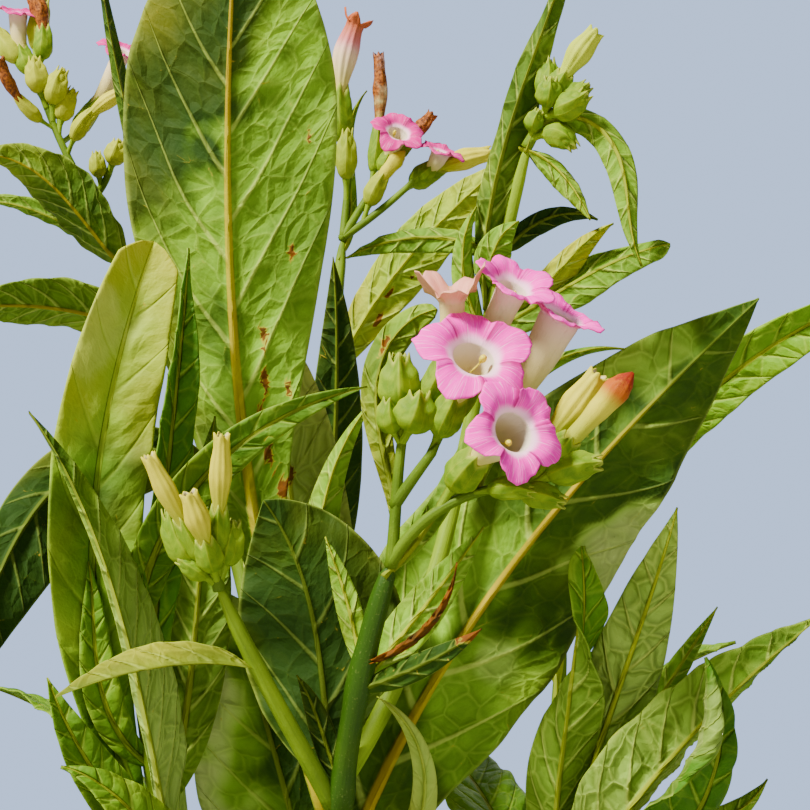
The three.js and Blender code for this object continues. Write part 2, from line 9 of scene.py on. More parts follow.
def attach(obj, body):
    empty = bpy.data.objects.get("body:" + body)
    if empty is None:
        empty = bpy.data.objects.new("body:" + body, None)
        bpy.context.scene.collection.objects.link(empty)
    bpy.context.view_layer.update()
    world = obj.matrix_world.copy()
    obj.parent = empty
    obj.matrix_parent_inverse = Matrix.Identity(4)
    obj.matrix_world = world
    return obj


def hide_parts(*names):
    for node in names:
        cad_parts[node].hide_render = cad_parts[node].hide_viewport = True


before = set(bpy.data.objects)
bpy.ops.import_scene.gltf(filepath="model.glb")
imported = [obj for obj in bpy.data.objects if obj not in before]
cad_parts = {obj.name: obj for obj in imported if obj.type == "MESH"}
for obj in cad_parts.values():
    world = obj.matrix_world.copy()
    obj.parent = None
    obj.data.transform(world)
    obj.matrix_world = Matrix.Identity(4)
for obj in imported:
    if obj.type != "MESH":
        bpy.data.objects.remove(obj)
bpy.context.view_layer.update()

MM = 0.001
GAP = 0.35  # between a stem and what starts on it
LINE_STEPS = 192
SINK = 2.5  # how far a leaf's foot runs into its stem
SHOOT_SINK = 4
TWIG_SINK = 1.5
SHOOT_SLIM = 0.88  # a shoot's skin, as a share of its solid
SHOOT_TAPER = 0.4
TWIG_GIRTH = [1.9, 1.3]
SPIRAL = 137.5
FLARE = 5
FLARE_HEIGHT = 22


# In every row, at is the share of the carrying line at which the row starts. heading turns in the front view
# from +X (0) up to +Z (90), and near tilts a line towards the front. Any of a row's values is one number, or
# the numbers at the line's start and end, or those at its start, middle and end.

def stem_row(on, at, heading, near, length, girth, **more):
    return {"on": on, "at": at, "heading": heading, "near": near, "length": length, "girth": girth, **more}


def twig_row(head, on, at, heading, near, length):
    return stem_row(on, at, heading, near, length, TWIG_GIRTH, head=head, tone=0.4, sink=TWIG_SINK)


def leaf_row(at, heading, near, length, width, **looks):
    return {"at": at, "heading": heading, "near": near, "length": length, "width": width, **looks}


def rank_row(turns, at, length, width, climb, droop):
    return {"turns": turns, "at": at, "length": length, "width": width, "climb": climb, "droop": droop}


def bloom_row(kind, at, heading, near, length, girth, **looks):
    return {
        "kind": kind, "at": at, "heading": heading, "near": near, "length": length, "girth": girth,
        "tint": 0.85, **looks,
    }


STALK = stem_row(None, 0, [90, 90.25, 89], [0, 0.25, -1], 850, [11.5, 8], sink=0)

# The tone of a shoot or a twig darkens its green as painted shade and brightens it as painted light
SHOOTS = {
    "shoot_front": stem_row(
        "stalk", 0.975, [89, 90, 71], [7, 32, 14], 304, [6, 3.6], tone=[1.6, 0.3, 0.05],
    ),
    "shoot_leader": stem_row("stalk", 1, [90, 93, 84], [-11, -11, 7], 421, [7.6, 2.6]),
    "shoot_back_left": stem_row("stalk", 0.95, [94, 101, 121], [-9, -9, 10], 494, [6, 3.4]),
    "shoot_left": stem_row("stalk", 0.9, [90, 105, 91], [0, 19, 16], 342, [6, 2.5]),
    "shoot_right": stem_row("stalk", 0.87, [88, 73, 70], [0, 15, 20], 326, [6, 2.5]),
    "shoot_hidden_right": stem_row("stalk", 0.93, [73, 71, 89], [-22, -21, -1], 341, [6, 3]),
    "shoot_hidden_left": stem_row("stalk", 0.89, [107, 106, 92], [-22, -22, -4], 359, [6, 3]),
    "branch_buds": stem_row(
        "shoot_front", 0.755, [117, 118, 112], [29, 27, 26], 75, [3.2, 2.4], tone=[0.45, 0.8],
    ),
    "branch_upper": stem_row("shoot_front", 0.783, [58, 78, 74], [-20, 5, 29], 209, [3.4, 2.2], tone=0.7),
}

# What a leaf has where its row says nothing else
LEAF = {
    # Outline: where it is widest, how full it is, its foot's share of the width, how much wider the left and
    # the right side of its upper side are, and the share of the outline at which its tip is cut off
    "broad": 0.42, "fullness": 1.7, "foot": 0.14, "halves": [1, 1], "cut": 1,
    # Bends: roll is the turn about its line, fold lifts both sides, curl rolls them over, nearer to the
    # margin with a higher edge, and wave and waves are the height and number of the margin's waves. curls in
    # a row stand for curl, with the left side first.
    "roll": 180, "fold": 14, "curl": 0, "edge": 1, "wave": 0.04, "waves": 2.5,
    # Relief: the laterals' slope, the height of the puckers, and the depth of the net of small veins. lateral
    # in a row is the millimetres between laterals.
    "slope": 1.1, "pucker": 1, "quilt": 1,
    # Colour: tone runs from dark to bright, both as the leaf's own darker and lighter green and as painted
    # shade and painted light, age to yellow, rib makes the midrib ochre, pale and fresh are shares of a
    # whitish and of a lively green, and dry turns the blade brown
    "tone": 0.5, "age": 0.3, "rib": 0.15, "pale": 0, "fresh": 0, "dry": 0,
    # Burns are (share along, share across, millimetres). Patches add to that the changes of tone and pale,
    # with which they paint shadows and pools of light on the blade.
    "burns": [], "patches": [],
}

# The leaves that are nodes of their own, by the stem that carries them
LEAVES = {
    "shoot_front": {
        "leaf_front_dark": leaf_row(
            0.755, [100, 100, 128], [-3, 9, 20], 92, 42, broad=0.5, tone=0.02, lateral=24,
            halves=[1.35, 1.15], fold=8, quilt=0.5, pucker=0.5,
        ),
        "leaf_front_tall": leaf_row(
            0.708, [110, 95, 83], [-10, 11, 26], 302, 71, broad=0.75, fullness=3.4, fold=8, tone=0.58,
            rib=1, lateral=28, slope=1.35, quilt=0.65, pucker=0.8, halves=[1, [0.55, 0.93, 1]],
            burns=[
                (0.75, -0.74, 3), (0.62, -0.57, 3), (0.53, -0.27, 4), (0.48, -0.25, 4), (0.44, -0.2, 4),
                (0.4, -0.22, 4), (0.36, -0.3, 5), (0.31, -0.27, 4), (0.39, -0.9, 3), (0.47, -0.45, 3),
            ],
            # Painted shadows at its top and on its left, and painted light on its right
            patches=[
                (0.97, 0.3, 42, -0.4, 0), (0.85, 0.5, 34, -0.8, 0), (0.72, 0.8, 26, -0.6, 0),
                (0.55, 0.9, 22, -0.4, 0), (0.42, 0.7, 26, -0.4, 0), (0.54, 0.12, 10, -0.3, 0),
                (0.68, 0.35, 10, 0.25, 0), (0.5, -0.5, 22, 0.2, 0), (0.84, -0.55, 14, 0.4, 0),
            ],
        ),
        "leaf_front_pale": leaf_row(
            0.557, [105, 106, 109], [1, 8, 19], 119, 54, tone=0.7, age=0.25, lateral=26, halves=[1.2, 1.1],
            pale=0.5, quilt=0.6,
            # Painted light on its left and a painted shadow on its right
            patches=[
                (0.75, 0.65, 30, 0.6, 0.6), (0.5, 0.75, 28, 0.6, 0.6), (0.62, -0.3, 30, -0.6, -0.9),
                (0.42, -0.1, 32, -0.6, -0.9), (0.76, -0.5, 24, -0.6, -0.9),
            ],
        ),
        "leaf_front_arched": leaf_row(
            0.755, [96, 91, 48], [-12, 6, 11], 125, 16, fold=30, tone=0.75, age=0.35,
        ),
        "leaf_front_scorched": leaf_row(
            0.69, [97, 99, 87], [-46, -3, 12], 177, 40, broad=0.6, tone=1.2, age=0.75, pale=0.4,
            burns=[
                (0.5, 0.1, 5), (0.58, 0.05, 6), (0.66, 0.1, 5), (0.74, 0, 4), (0.45, -0.5, 5),
                (0.4, -0.4, 5), (0.8, 0.3, 3), (0.35, -0.1, 3),
            ],
        ),
        "leaf_front_broad": leaf_row(
            0.66, [69, 52, 41], [-5, 3, 32], 229, 72, roll=195, tone=0.2, rib=[1.3, 1.3, -0.6], lateral=34,
            slope=0.9, quilt=0.75,
            patches=[
                (0.3, -0.5, 30, 0.45, 0), (0.42, 0.6, 26, 0.5, 0), (0.75, 0.7, 30, -0.2, 0),
                (0.6, -0.95, 22, 2.2, 0.8), (0.36, -0.45, 9, 0.2, 0.3), (0.84, 0.42, 17, 0.75, 0.12),
            ],
        ),
    },
    "branch_buds": {
        "leaf_bud_branch": leaf_row(
            0.67, [173, 191, 203], [28, 10, -6], 56, 16, roll=150, fold=60, tone=0.25, age=0.6, wave=0.01,
            quilt=0.7,
        ),
    },
    "branch_upper": {
        "leaf_upper_narrow": leaf_row(
            0.75, [94, 72, 72], [22, 19, 14], 119, 15, roll=170, fold=40, wave=0.16, tone=0.3, fresh=0.4,
            quilt=1.2,
        ),
    },
    "shoot_left": {
        "leaf_left_thin": leaf_row(
            0.73, [99, 100, 129], [29, 32, -17], 174, 20, roll=200, fold=45, tone=[0.8, 0.7, 0.1],
            halves=[2, 0.25], pale=[0.4, 0.35, -0.3], pucker=1.4, quilt=0.8,
        ),
        "leaf_left_broad": leaf_row(
            0.79, [117, 87, 73], [19, 18, 0], 197, 32, roll=20, fold=20, broad=0.58, tone=[0.4, 0.85, 1.2],
            age=[0.2, 0.5, 0.9], fresh=0.5, cut=0.9, lateral=26, pale=[0, 0.05, 0.1], quilt=0.35,
            pucker=1.2,
            patches=[
                (0.72, 0.88, 24, -0.5, 0), (0.61, 0.3, 20, -0.35, 0), (0.53, -0.4, 22, -0.3, 0),
                (0.84, -0.6, 14, 0.3, 0.3), (0.68, -0.3, 16, 0.5, 0),
            ],
        ),
        "leaf_left_crossing": leaf_row(0.98, [84, 46, 13], [48, 28, -5], 125, 15, roll=20, tone=0.35),
        "leaf_left_lance": leaf_row(
            0.92, [85, 83, 86], [30, 17, 9], 146, 18, roll=40, fold=35, tone=0.45, fresh=0.9, age=0.1,
            pucker=1.4,
        ),
        "leaf_left_inner": leaf_row(
            0.82, [75, 85, 82], [17, 13, 12], 126, 22, tone=0.45, fresh=0.7, age=0.1,
        ),
        "leaf_left_low": leaf_row(0.7, [136, 166, 232], [33, 34, 8], 110, 32, roll=120, tone=0.15),
    },
    "shoot_right": {
        "leaf_right_edge": leaf_row(
            0.82, [32, 59, 113], [30, 38, 0], 121, 44, roll=20, fold=0, tone=0.4, fresh=0.9, age=0.1,
            halves=[[0.6, 0.8, 1.9], 0.3], curls=[[0, 0, 420], 0], patches=[(0.87, -0.7, 17, 0, 0.3)],
            broad=0.5, edge=2,
        ),
        "leaf_right_curled": leaf_row(
            0.86, [101, 82, 94], [34, 24, 13], 117, 20, roll=[160, 150, -60], fold=30, tone=0.6, fresh=0.7,
            broad=0.45, fullness=1.5, cut=0.92, halves=[1, [1.3, 1.25, 1]],
        ),
        "leaf_right_tall": leaf_row(
            0.88, [80, 72, 75], [26, 23, 14], 126, 26, tone=1.5, quilt=1.3, pale=[0.5, 0.4, 0.2],
            lateral=18,
        ),
        "leaf_right_long": leaf_row(
            0.86, [63, 50, 37], [41, 23, 6], 125, 34, roll=220, fold=30, tone=[0.8, 0.8, 0.3], lateral=16,
            quilt=1.2, pale=[0.25, 0.2, -0.3],
        ),
    },
    "shoot_hidden_right": {
        "leaf_far_right": leaf_row(
            0.9, [93, 55, 14], [37, 47, 33], 253, 22, roll=20, tone=0.9, broad=0.66, lateral=15, foot=0.05,
        ),
    },
    "shoot_leader": {
        "leaf_back_slanting": leaf_row(
            0.85, [61, 47, 37], [46, 29, 15], 120, 24, broad=0.55, tone=1, age=0.75,
            burns=[(0.3, -0.4, 3), (0.4, -0.2, 2.5), (0.5, -0.5, 2)],
        ),
        "leaf_back_inner": leaf_row(0.62, [88, 86, 95], [40, 40, 20], 150, 22, tone=0),
    },
    "shoot_back_left": {
        "leaf_far_left": leaf_row(
            0.86, [161, 180, 194], [68, 30, 0], 113, 26, roll=130, rib=0.7, fresh=0.4,
        ),
        "leaf_left_drooping": leaf_row(
            0.72, [120, 237, 243], [47, 35, -25], 188, 56, roll=160, tone=0, quilt=0.5, pucker=0.6,
            halves=[0.45, 0.88],
        ),
        "leaf_back_narrow": leaf_row(0.81, [99, 103, 97], [21, 23, 7], 192, 14, fold=50, tone=0.2),
        "leaf_back_left": leaf_row(
            0.94, [140, 135, 188], [37, 27, 7], 79, 30, roll=140, tone=0.35, rib=0.7, age=0.4,
        ),
    },
}

# The small leaves that are part of their stem's node
LEAFLETS = {
    "shoot_front": [
        leaf_row(
            0.604, [30, 75, 150], [-1, 23, 16], 90, 10, fold=30, tone=1.2, age=0.75, pale=0.35, quilt=0.4,
            pucker=0.4, wave=0.12,
        ),
        leaf_row(0.595, [45, 25, -10], [5, 10, 0], 62, 10, tone=0.8),
        leaf_row(0.868, [18, 24, 37], [32, 22, 15], 44, 8, tone=0.15, dry=[-2, -0.5, 1], quilt=0.5),
        leaf_row(0.868, [52, 52, 55], [-16, -11, 9], 65, 14, tone=0.85),
        leaf_row(0.896, [14, 44, 85], [22, 20, 6], 45, 2.8, dry=1, wave=0.9, waves=9, pucker=7),
        leaf_row(0.887, [97, 106, 111], [-18, -10, -2], 44, 8, tone=0.95),
        leaf_row(0.764, [115, 109, 124], [23, 13, 10], 37, 8, tone=0),
        leaf_row(
            0.985, [66, 99, 7], [7, -1, 13], 91, 10.5, foot=0.3, tone=[0.2, 0.3, 0.7], age=0.5, broad=0.75,
            burns=[(0.8, 0.3, 3)],
        ),
        leaf_row(0.99, [44, 57, -10], [-29, -3, 3], 111, 8, foot=0.3),
    ],
    "branch_upper": [
        leaf_row(1, [73, -70, -63], [21, 7, -14], 75, 10, foot=0.2, tone=0.6),
        leaf_row(0.99, [-27, -53, -66], [25, 2, -1], 32, 10, fold=45, tone=0.95, age=0.4),
        leaf_row(0.83, [51, 29, -26], [-21, -12, -5], 39, 8, tone=0.05),
        leaf_row(0.75, [-20, 43, 21], [20, 28, 7], 49, 12, fold=35, tone=0.95, age=0.95),
        leaf_row(0.7, [21, 27, 8], [26, 19, 8], 66, 15, roll=160, tone=0.6, cut=0.88),
        leaf_row(0.69, [120, 98, 56], [23, 21, 13], 46, 8, tone=0.7),
        leaf_row(0.77, [124, 71, 27], [45, 42, 15], 28, 12, tone=0.7),
        leaf_row(0.82, [147, 174, 189], [2, -28, -46], 61, 9),
    ],
    "shoot_left": [
        leaf_row(0.86, [148, 99, 98], [40, 18, 15], 73, 12, roll=20),
        leaf_row(0.77, [131, 122, 109], [51, 33, 11], 78, 16, roll=20),
        leaf_row(0.67, [96, 108, 164], [44, 47, 5], 98, 24, roll=40),
    ],
    "shoot_right": [
        leaf_row(0.97, [58, 57, 58], [-5, 9, 17], 70, 9),
        leaf_row(0.94, [-19, 9, 62], [3, 9, 20], 62, 11),
    ],
    "shoot_leader": [
        leaf_row(0.98, [63, 94, 47], [-8, 15, 10], 76, 6, foot=0.3),
    ],
    "shoot_back_left": [
        leaf_row(0.95, [151, 157, 188], [6, 5, -2], 73, 11, roll=130),
    ],
}

# Ranks of leaves up a stem, lowest first: climb is the angle at which a leaf leaves its stem, and droop how
# far it bends. turns go round the vertical.
RANK_LEAF = {"roll": -90, "fold": 20, "curl": -30, "broad": 0.48, "fullness": 1.5}
DROOP_MIDDLE = 0.45
STALK_RANK = rank_row(
    [250 + SPIRAL * i for i in range(16)], [0.09, 0.87], [280, 470, 300], [140, 215, 120], [28, 44, 60],
    [52, 66, 70],
)
SHOOT_RANKS = {
    "shoot_hidden_right": rank_row(
        [20, 75, 340, 110, 5, 215], [0.24, 0.92], [200, 150, 80], [60, 44, 22], [38, 48, 62], [56, 50, 30],
    ),
    "shoot_hidden_left": rank_row(
        [160, 105, 200, 70, 175, 325], [0.24, 0.92], [200, 150, 80], [60, 44, 22], [38, 48, 62],
        [56, 50, 30],
    ),
    "shoot_leader": rank_row([90, 70, 100], [0.3, 0.56], [130, 100], [34, 26], [52, 60], 40),
    "shoot_back_left": rank_row([150, 120], [0.3, 0.46], [130, 100], [36, 28], [46, 52], 40),
    "shoot_left": rank_row([185, 220, 165], [0.2, 0.56], [180, 120], [54, 36], [36, 44], 60),
    "shoot_right": rank_row([355, 320, 15], [0.2, 0.6], [180, 120], [54, 36], [36, 44], 60),
    "shoot_front": rank_row([290, 250], [0.14, 0.34], [170, 130], [50, 40], [30, 36], 60),
}

TWIGS = {
    "front_top": twig_row("head_front", "shoot_front", 1, [84, 85, 76], [14, 13, 0], 51),
    "front_low": twig_row("head_front", "front_top", 0, [60, 28, -6], [27, 20, 10], 49),
    "front_high": twig_row("head_front", "front_top", 0.35, 52, [30, 21], 22),
    "buds": twig_row("head_buds", "branch_buds", 1, 100, 20, 4),
    "upper": twig_row("head_upper", "branch_upper", 1, 57, 24, 12),
    "leader_top": twig_row("head_leader", "shoot_leader", 1, 85, 6, 31),
    "leader_left": twig_row("head_leader", "leader_top", 0, 58, 10, 46),
    "leader_right": twig_row("head_leader", "leader_top", 0, [33, 42], [5, 16], 42),
    "back_top": twig_row("head_back_left", "shoot_back_left", 1, [123, 107], [6, 12], 64),
    "back_low": twig_row("head_back_left", "back_top", 0.05, [32, 83], [35, 20], 24),
    "hidden_right": twig_row("head_hidden_right", "shoot_hidden_right", 1, 87, 0, 34),
    "hidden_left": twig_row("head_hidden_left", "shoot_hidden_left", 1, 95, 0, 34),
}

# Looks of the blooms: limb is the radius of the open limb, tint its pink, pale that of the calyx, tip a red
# tip, green a green corolla, mouth how far a narrow one is open, and wither and rim turn it or its rim brown.
# cup and fat widen the calyx and the throat, raised and cupped bend the limb, sepal is the share of the line
# at which the calyx ends, and style is the turn and the millimetres by which the style leans.
BLOOMS = {
    "front_high": [
        bloom_row("open", 0.75, [66, 60], [0, 62], 38, 3.8, limb=18.5, cup=1.25, style=(2.3, 3)),
        bloom_row("open", 0.85, [65, 62], [-24, 42], 59, 3.8, limb=13.5, raised=0.25, cup=1.2),
    ],
    "front_low": [
        bloom_row("open", 0.45, [62, 15], [25, 62], 41, 4.2, limb=16, cup=1.25, fat=1.1, style=(0.8, 3.5)),
        bloom_row("open", 0.7, [68, 60], [-28, 30], 63, 4, limb=14, fat=1.3, raised=0.15),
        bloom_row("bud", 1, 46, [11, 17], 45, 4.6, tip=1, tint=0, sepal=0.45),
        bloom_row("tube", 0.9, 51, [-5, 19], 43, 4.6, tint=0, rim=0.9, sepal=0.45),
        bloom_row("calyx", 1, [29, 3], [21, 5], 24, 4.2, cup=1.1),
        bloom_row("calyx", 0.85, [-11, -20], [17, 6], 20, 3.4, cup=1.1),
        bloom_row("calyx", 0.65, [18, -22], [33, 10], 22, 3, cup=1.1),
    ],
    "front_top": [
        bloom_row(
            "open", 0.8, [44, 95], [10, 25], 42, 3.6, limb=11, tint=0.38, rim=0.35, raised=0.7, cupped=0.3,
        ),
        bloom_row("calyx", 0.72, [95, 89], 12, 26, 4.6, cup=1.3),
        bloom_row("calyx", 0.7, [49, 87], [51, 8], 18, 4.6, cup=1.3),
        bloom_row("calyx", 0.68, [130, 76], [33, 11], 16, 2.8, cup=1.4),
    ],
    "buds": [
        bloom_row("tube", 0, [121, 115], [27, 18], 44, 3.2, tint=0),
        bloom_row("tube", 0, [104, 108], [42, 22], 31, 3.8, tint=0),
        bloom_row("tube", 0, [89, 86], [21, 18], 45, 3.4, tint=0),
        bloom_row("calyx", 0, [70, 83], [11, 12], 20, 4.2),
        bloom_row("calyx", 0, [147, 98], [13, 15], 28, 4.4),
        bloom_row("calyx", 0, 148, [36, 9], 15, 2.8),
    ],
    "upper": [
        bloom_row("tube", 0.8, [68, 46], [19, 12], 32, 4.2, tint=0, green=1, sepal=0.5),
        bloom_row("calyx", 0.7, [76, 93], [7, 6], 21, 4),
        bloom_row("calyx", 0.8, [77, 86], [60, 22], 14, 4),
        bloom_row("calyx", 0.8, [28, 38], [22, 10], 18, 4),
        bloom_row("calyx", 0.8, [-14, 46], [56, 13], 18, 4.4),
        bloom_row("calyx", 0.1, [19, -61], [50, -5], 18, 3.8),
        bloom_row("calyx", 0.1, [91, 51], [52, 26], 11, 3),
    ],
    "leader_top": [
        bloom_row("tube", 1, [109, 62], [13, 17], 69, 5.6, mouth=1, tint=0.5, tip=0.5),
        bloom_row("calyx", 0.5, [91, 86], [20, 15], 33, 4.6, pale=0.5),
    ],
    "leader_left": [
        bloom_row("tube", 0.45, [77, 95], [2, 16], 65, 3.4, wither=0.55),
        bloom_row("open", 0.6, [65, 60], [0, 60], 27, 3.6, limb=13, tint=1),
        bloom_row("tube", 0.8, [47, 50], [3, 12], 31, 3.4, wither=1),
    ],
    "leader_right": [
        bloom_row("open", 0.9, [22, 70], [7, 30], 21, 3.6, limb=12, tint=1),
        bloom_row("tube", 0.7, [44, 5], [0, 4], 47, 5, tint=0),
        bloom_row("bud", 0.25, [76, 41], [18, 11], 37, 4.2, tint=0, pale=0.6),
    ],
    "back_top": [
        bloom_row("calyx", 0.75, [114, 91], [22, 16], 24, 5, pale=0.9),
        bloom_row("calyx", 0.65, [90, 61], [22, 14], 25, 5, pale=0.8),
        bloom_row("calyx", 0.55, [88, 56], 5, 23, 4.6, pale=0.9),
        bloom_row("tube", 0.4, [66, 11], [33, 11], 44, 3.6, pale=0.9, tint=0),
        bloom_row("tube", 0.6, [160, 100], [31, 33], 40, 3, pale=0.9, wither=1),
        bloom_row("tube", 1, [65, 129], [11, 4], 42, 4, wither=1),
        bloom_row("open", 0.5, [66, 60], [-53, 40], 60, 4.2, limb=12, tint=1),
        bloom_row("open", 0.95, [132, 80], [-22, 30], 37, 4.2, limb=12, tint=1),
        bloom_row("calyx", 1, [95, 80], -5, 40, 4.6, pale=0.8),
        bloom_row("calyx", 1, [140, 120], -10, 36, 4.6, pale=0.7),
    ],
    "back_low": [
        bloom_row("calyx", 0.6, [55, 78], [44, 9], 17, 4.6, pale=0.8),
        bloom_row("calyx", 0.3, [93, 96], [50, 3], 17, 3.6, pale=0.7),
    ],
}


def along(values, s):
    """Value at share s of a line, from one value or those at its start, middle and end."""
    v = np.atleast_1d(values)
    s = np.asarray(s, float)
    if len(v) == 1:
        return v[0] + 0 * s
    if len(v) == 2:
        return v[0] + (v[1] - v[0]) * s
    return v[0] * (1 - s) * (1 - 2 * s) + v[1] * 4 * s * (1 - s) + v[2] * s * (2 * s - 1)


def columns(*values):
    """One row to a point; a single number fills its column."""
    return np.stack(np.broadcast_arrays(*values), -1)


def turned(vectors, degrees):
    """Vectors swung round the vertical."""
    c = math.cos(math.radians(degrees))
    s = math.sin(math.radians(degrees))
    x, y, z = vectors[..., 0], vectors[..., 1], vectors[..., 2]
    return columns(x * c - y * s, x * s + y * c, z)


def unit(vectors):
    return vectors / np.linalg.norm(vectors, axis=-1, keepdims=True)


def direction_of(row, s):
    heading = np.radians(along(row["heading"], s))
    near = np.radians(along(row["near"], s))
    flat = np.cos(near)
    straight = columns(flat * np.cos(heading), -np.sin(near), flat * np.sin(heading))
    return turned(straight, row.get("turn", 0))


class Line:
    """The line that a row grows from its start."""

    def __init__(self, row, start):
        self.row = row
        middles = (np.arange(LINE_STEPS) + 0.5) / LINE_STEPS
        steps = direction_of(row, middles) * row["length"] / LINE_STEPS
        self.points = np.vstack([start, start + np.cumsum(steps, axis=0)])
        self.front = turned(np.array([0.0, -1.0, 0.0]), row.get("turn", 0))

    def at(self, s):
        """Points, tangents and fronts at shares s; below 0 the line runs straight back."""
        s = np.asarray(s, float)
        inside = np.clip(s, 0, 1)
        ticks = np.arange(LINE_STEPS + 1)
        point = columns(*(np.interp(inside * LINE_STEPS, ticks, self.points[:, i]) for i in range(3)))
        tangent = direction_of(self.row, inside)
        point = point + tangent * ((s - inside) * self.row["length"])[..., None]
        face = unit(self.front - tangent * (tangent @ self.front)[..., None])
        return point, tangent, face

    def around(self, s, turn, radius):
        """Points at a turn round the line, which starts at its front, and at a radius from it."""
        point, tangent, front = self.at(s)
        side = np.cross(tangent, front)
        return point + side * (np.sin(turn) * radius)[:, None] + front * (np.cos(turn) * radius)[:, None]


def start_of(row, carrier, clear):
    """Where a row starts on what carries it: on the axis, or clear of its surface."""
    point, tangent, _ = carrier.at(row["at"])
    if not clear:
        return point
    if row["at"] == 1:
        return point + tangent * GAP
    out = direction_of(row, 0)
    out = unit(out - tangent * out.dot(tangent))
    return point + out * (along(carrier.row["girth"], row["at"]) + GAP)


def rank_leaves(rank):
    """The leaves of a rank, lowest first."""
    leaves = []
    last = len(rank["turns"]) - 1
    for i, turn in enumerate(rank["turns"]):
        at, length, width, climb, droop = (
            float(along(rank[key], i / last)) for key in ("at", "length", "width", "climb", "droop"))
        heading = [climb, climb - DROOP_MIDDLE * droop, climb - droop]
        leaves.append(leaf_row(at, heading, 0, length, width, turn=turn, **RANK_LEAF))
    return leaves


def smooth(low, high, values):
    """0 below low, 1 above high, and a soft step between."""
    share = np.clip((values - low) / (high - low), 0, 1)
    return share * share * (3 - 2 * share)


def grain(points, scale, seed=0):
    """Smooth noise from -1 to 1 at points given in millimetres."""
    shift = Vector((seed * 7.31, seed * 3.17, seed * 5.03))
    return np.array([noise.noise(Vector(p) * scale + shift) for p in points])


# Shapes that are modelled once and copied

SHAPES = {}
SHELL = 0.2  # between the two shells of a unit shape


def clear_selection():
    if bpy.context.object and bpy.context.object.mode != "OBJECT":
        bpy.ops.object.mode_set(mode="OBJECT")
    bpy.ops.object.select_all(action="DESELECT")


def apply_modifiers(piece):
    clear_selection()
    bpy.context.view_layer.objects.active = piece
    piece.select_set(True)
    for modifier in list(piece.modifiers):
        bpy.ops.object.modifier_apply(modifier=modifier.name)


def two_shells(shape):
    """Thicken a shape inwards; the new shell takes the second material slot."""
    for _ in range(2):
        shape.data.materials.append(None)
    thickness = shape.modifiers.new("thickness", "SOLIDIFY")
    thickness.thickness = SHELL
    thickness.offset = -1
    thickness.material_offset = 1
    apply_modifiers(shape)
    return shape


def blade_shape(across, lengthwise):
    """Flat unit blade of two shells: x is -1 to 1 across, y is -1 to 1 lengthwise, z tells the shell."""
    clear_selection()
    bpy.ops.mesh.primitive_grid_add(x_subdivisions=across, y_subdivisions=lengthwise, size=2)
    return two_shells(bpy.context.object)


def rod_shape(sides, rings, shell=False):
    """Unit rod along Z from 0 to 1, or an open tube of two shells whose inner one has the radius 0.8."""
    clear_selection()
    ends = "NOTHING" if shell else "TRIFAN"
    bpy.ops.mesh.primitive_cylinder_add(
        vertices=sides, radius=1, depth=1, end_fill_type=ends, location=(0, 0, 0.5))
    shape = bpy.context.object
    bpy.ops.object.transform_apply(location=True, rotation=True, scale=True)
    bpy.ops.object.mode_set(mode="EDIT")
    bpy.ops.mesh.select_mode(type="EDGE")
    bpy.ops.mesh.select_all(action="DESELECT")
    bpy.ops.object.mode_set(mode="OBJECT")
    points = shape.data.vertices
    for edge in shape.data.edges:
        low, high = edge.vertices
        edge.select = abs(points[low].co.z - points[high].co.z) > 0.5
    bpy.ops.object.mode_set(mode="EDIT")
    bpy.ops.mesh.subdivide(number_cuts=rings - 1)
    bpy.ops.object.mode_set(mode="OBJECT")
    return two_shells(shape) if shell else shape


def shape_of(kind, *sizes, **settings):
    """The shape of these sizes, made the first time that it is asked for."""
    key = (kind, sizes, tuple(settings.items()))
    if key not in SHAPES:
        SHAPES[key] = kind(*sizes, **settings)
    return SHAPES[key]


def copied(shape, name, finishes, place):
    """A copy of a shape under a new name, whose points and attributes place gives in millimetres."""
    mesh = shape.data.copy()
    mesh.name = name
    piece = bpy.data.objects.new(name, mesh)
    bpy.context.collection.objects.link(piece)
    points = np.empty(len(mesh.vertices) * 3, np.float32)
    mesh.vertices.foreach_get("co", points)
    moved, attributes = place(points.reshape(-1, 3).astype(float))
    mesh.vertices.foreach_set("co", (moved * MM).astype(np.float32).ravel())
    for label, values in attributes.items():
        layer = mesh.attributes.new(label, "FLOAT_VECTOR", "POINT")
        layer.data.foreach_set("vector", values.astype(np.float32).ravel())
    for i, finish in enumerate(finishes):
        if i < len(mesh.materials):
            mesh.materials[i] = finish
        else:
            mesh.materials.append(finish)
    mesh.update()
    mesh.shade_smooth()
    return piece


def joined(pieces, name):
    """One piece of several."""
    clear_selection()
    for piece in pieces:
        piece.select_set(True)
    bpy.context.view_layer.objects.active = pieces[0]
    if len(pieces) > 1:
        bpy.ops.object.join()
    pieces[0].name = name
    pieces[0].data.name = name
    return pieces[0]


# Leaves, in millimetres

THICKNESS = 0.45  # that each side gains from the margin inwards
TIP_HALF_WIDTH = 0.25
CUT_ROUNDING = 0.035  # share of its length over which a cut tip narrows
CROWDING = 1.25  # draws the grid's points towards the midrib
CURL_STEPS = 14
WAVE_PHASES = [-0.4, 1.1]
OTHER_SIDE = 0.45  # how far the laterals of one side are set off from the other's
VEIN_BEND = 0.55
VEIN_WANDER = 0.13
FULL_PUCKER_WIDTH = 50  # narrower leaves have lower puckers
SWELL = 1.1  # between the laterals, and of the small puckers
LARGE_SWELL = 3.2
LATERAL_RIDGE = 0.7
RIPPLE = 0.05  # of the half width, on top of the waves
RIPPLES_TO_WAVE = 2.7
MARGIN = 0.12  # half the thickness there
GROOVE = 0.35  # of the midrib
BURN_SHAPE = (0.5, 1.4)  # longer than wide
PATCH_FADE = (0.5, 1.1)  # shares of its size between which a patch fades
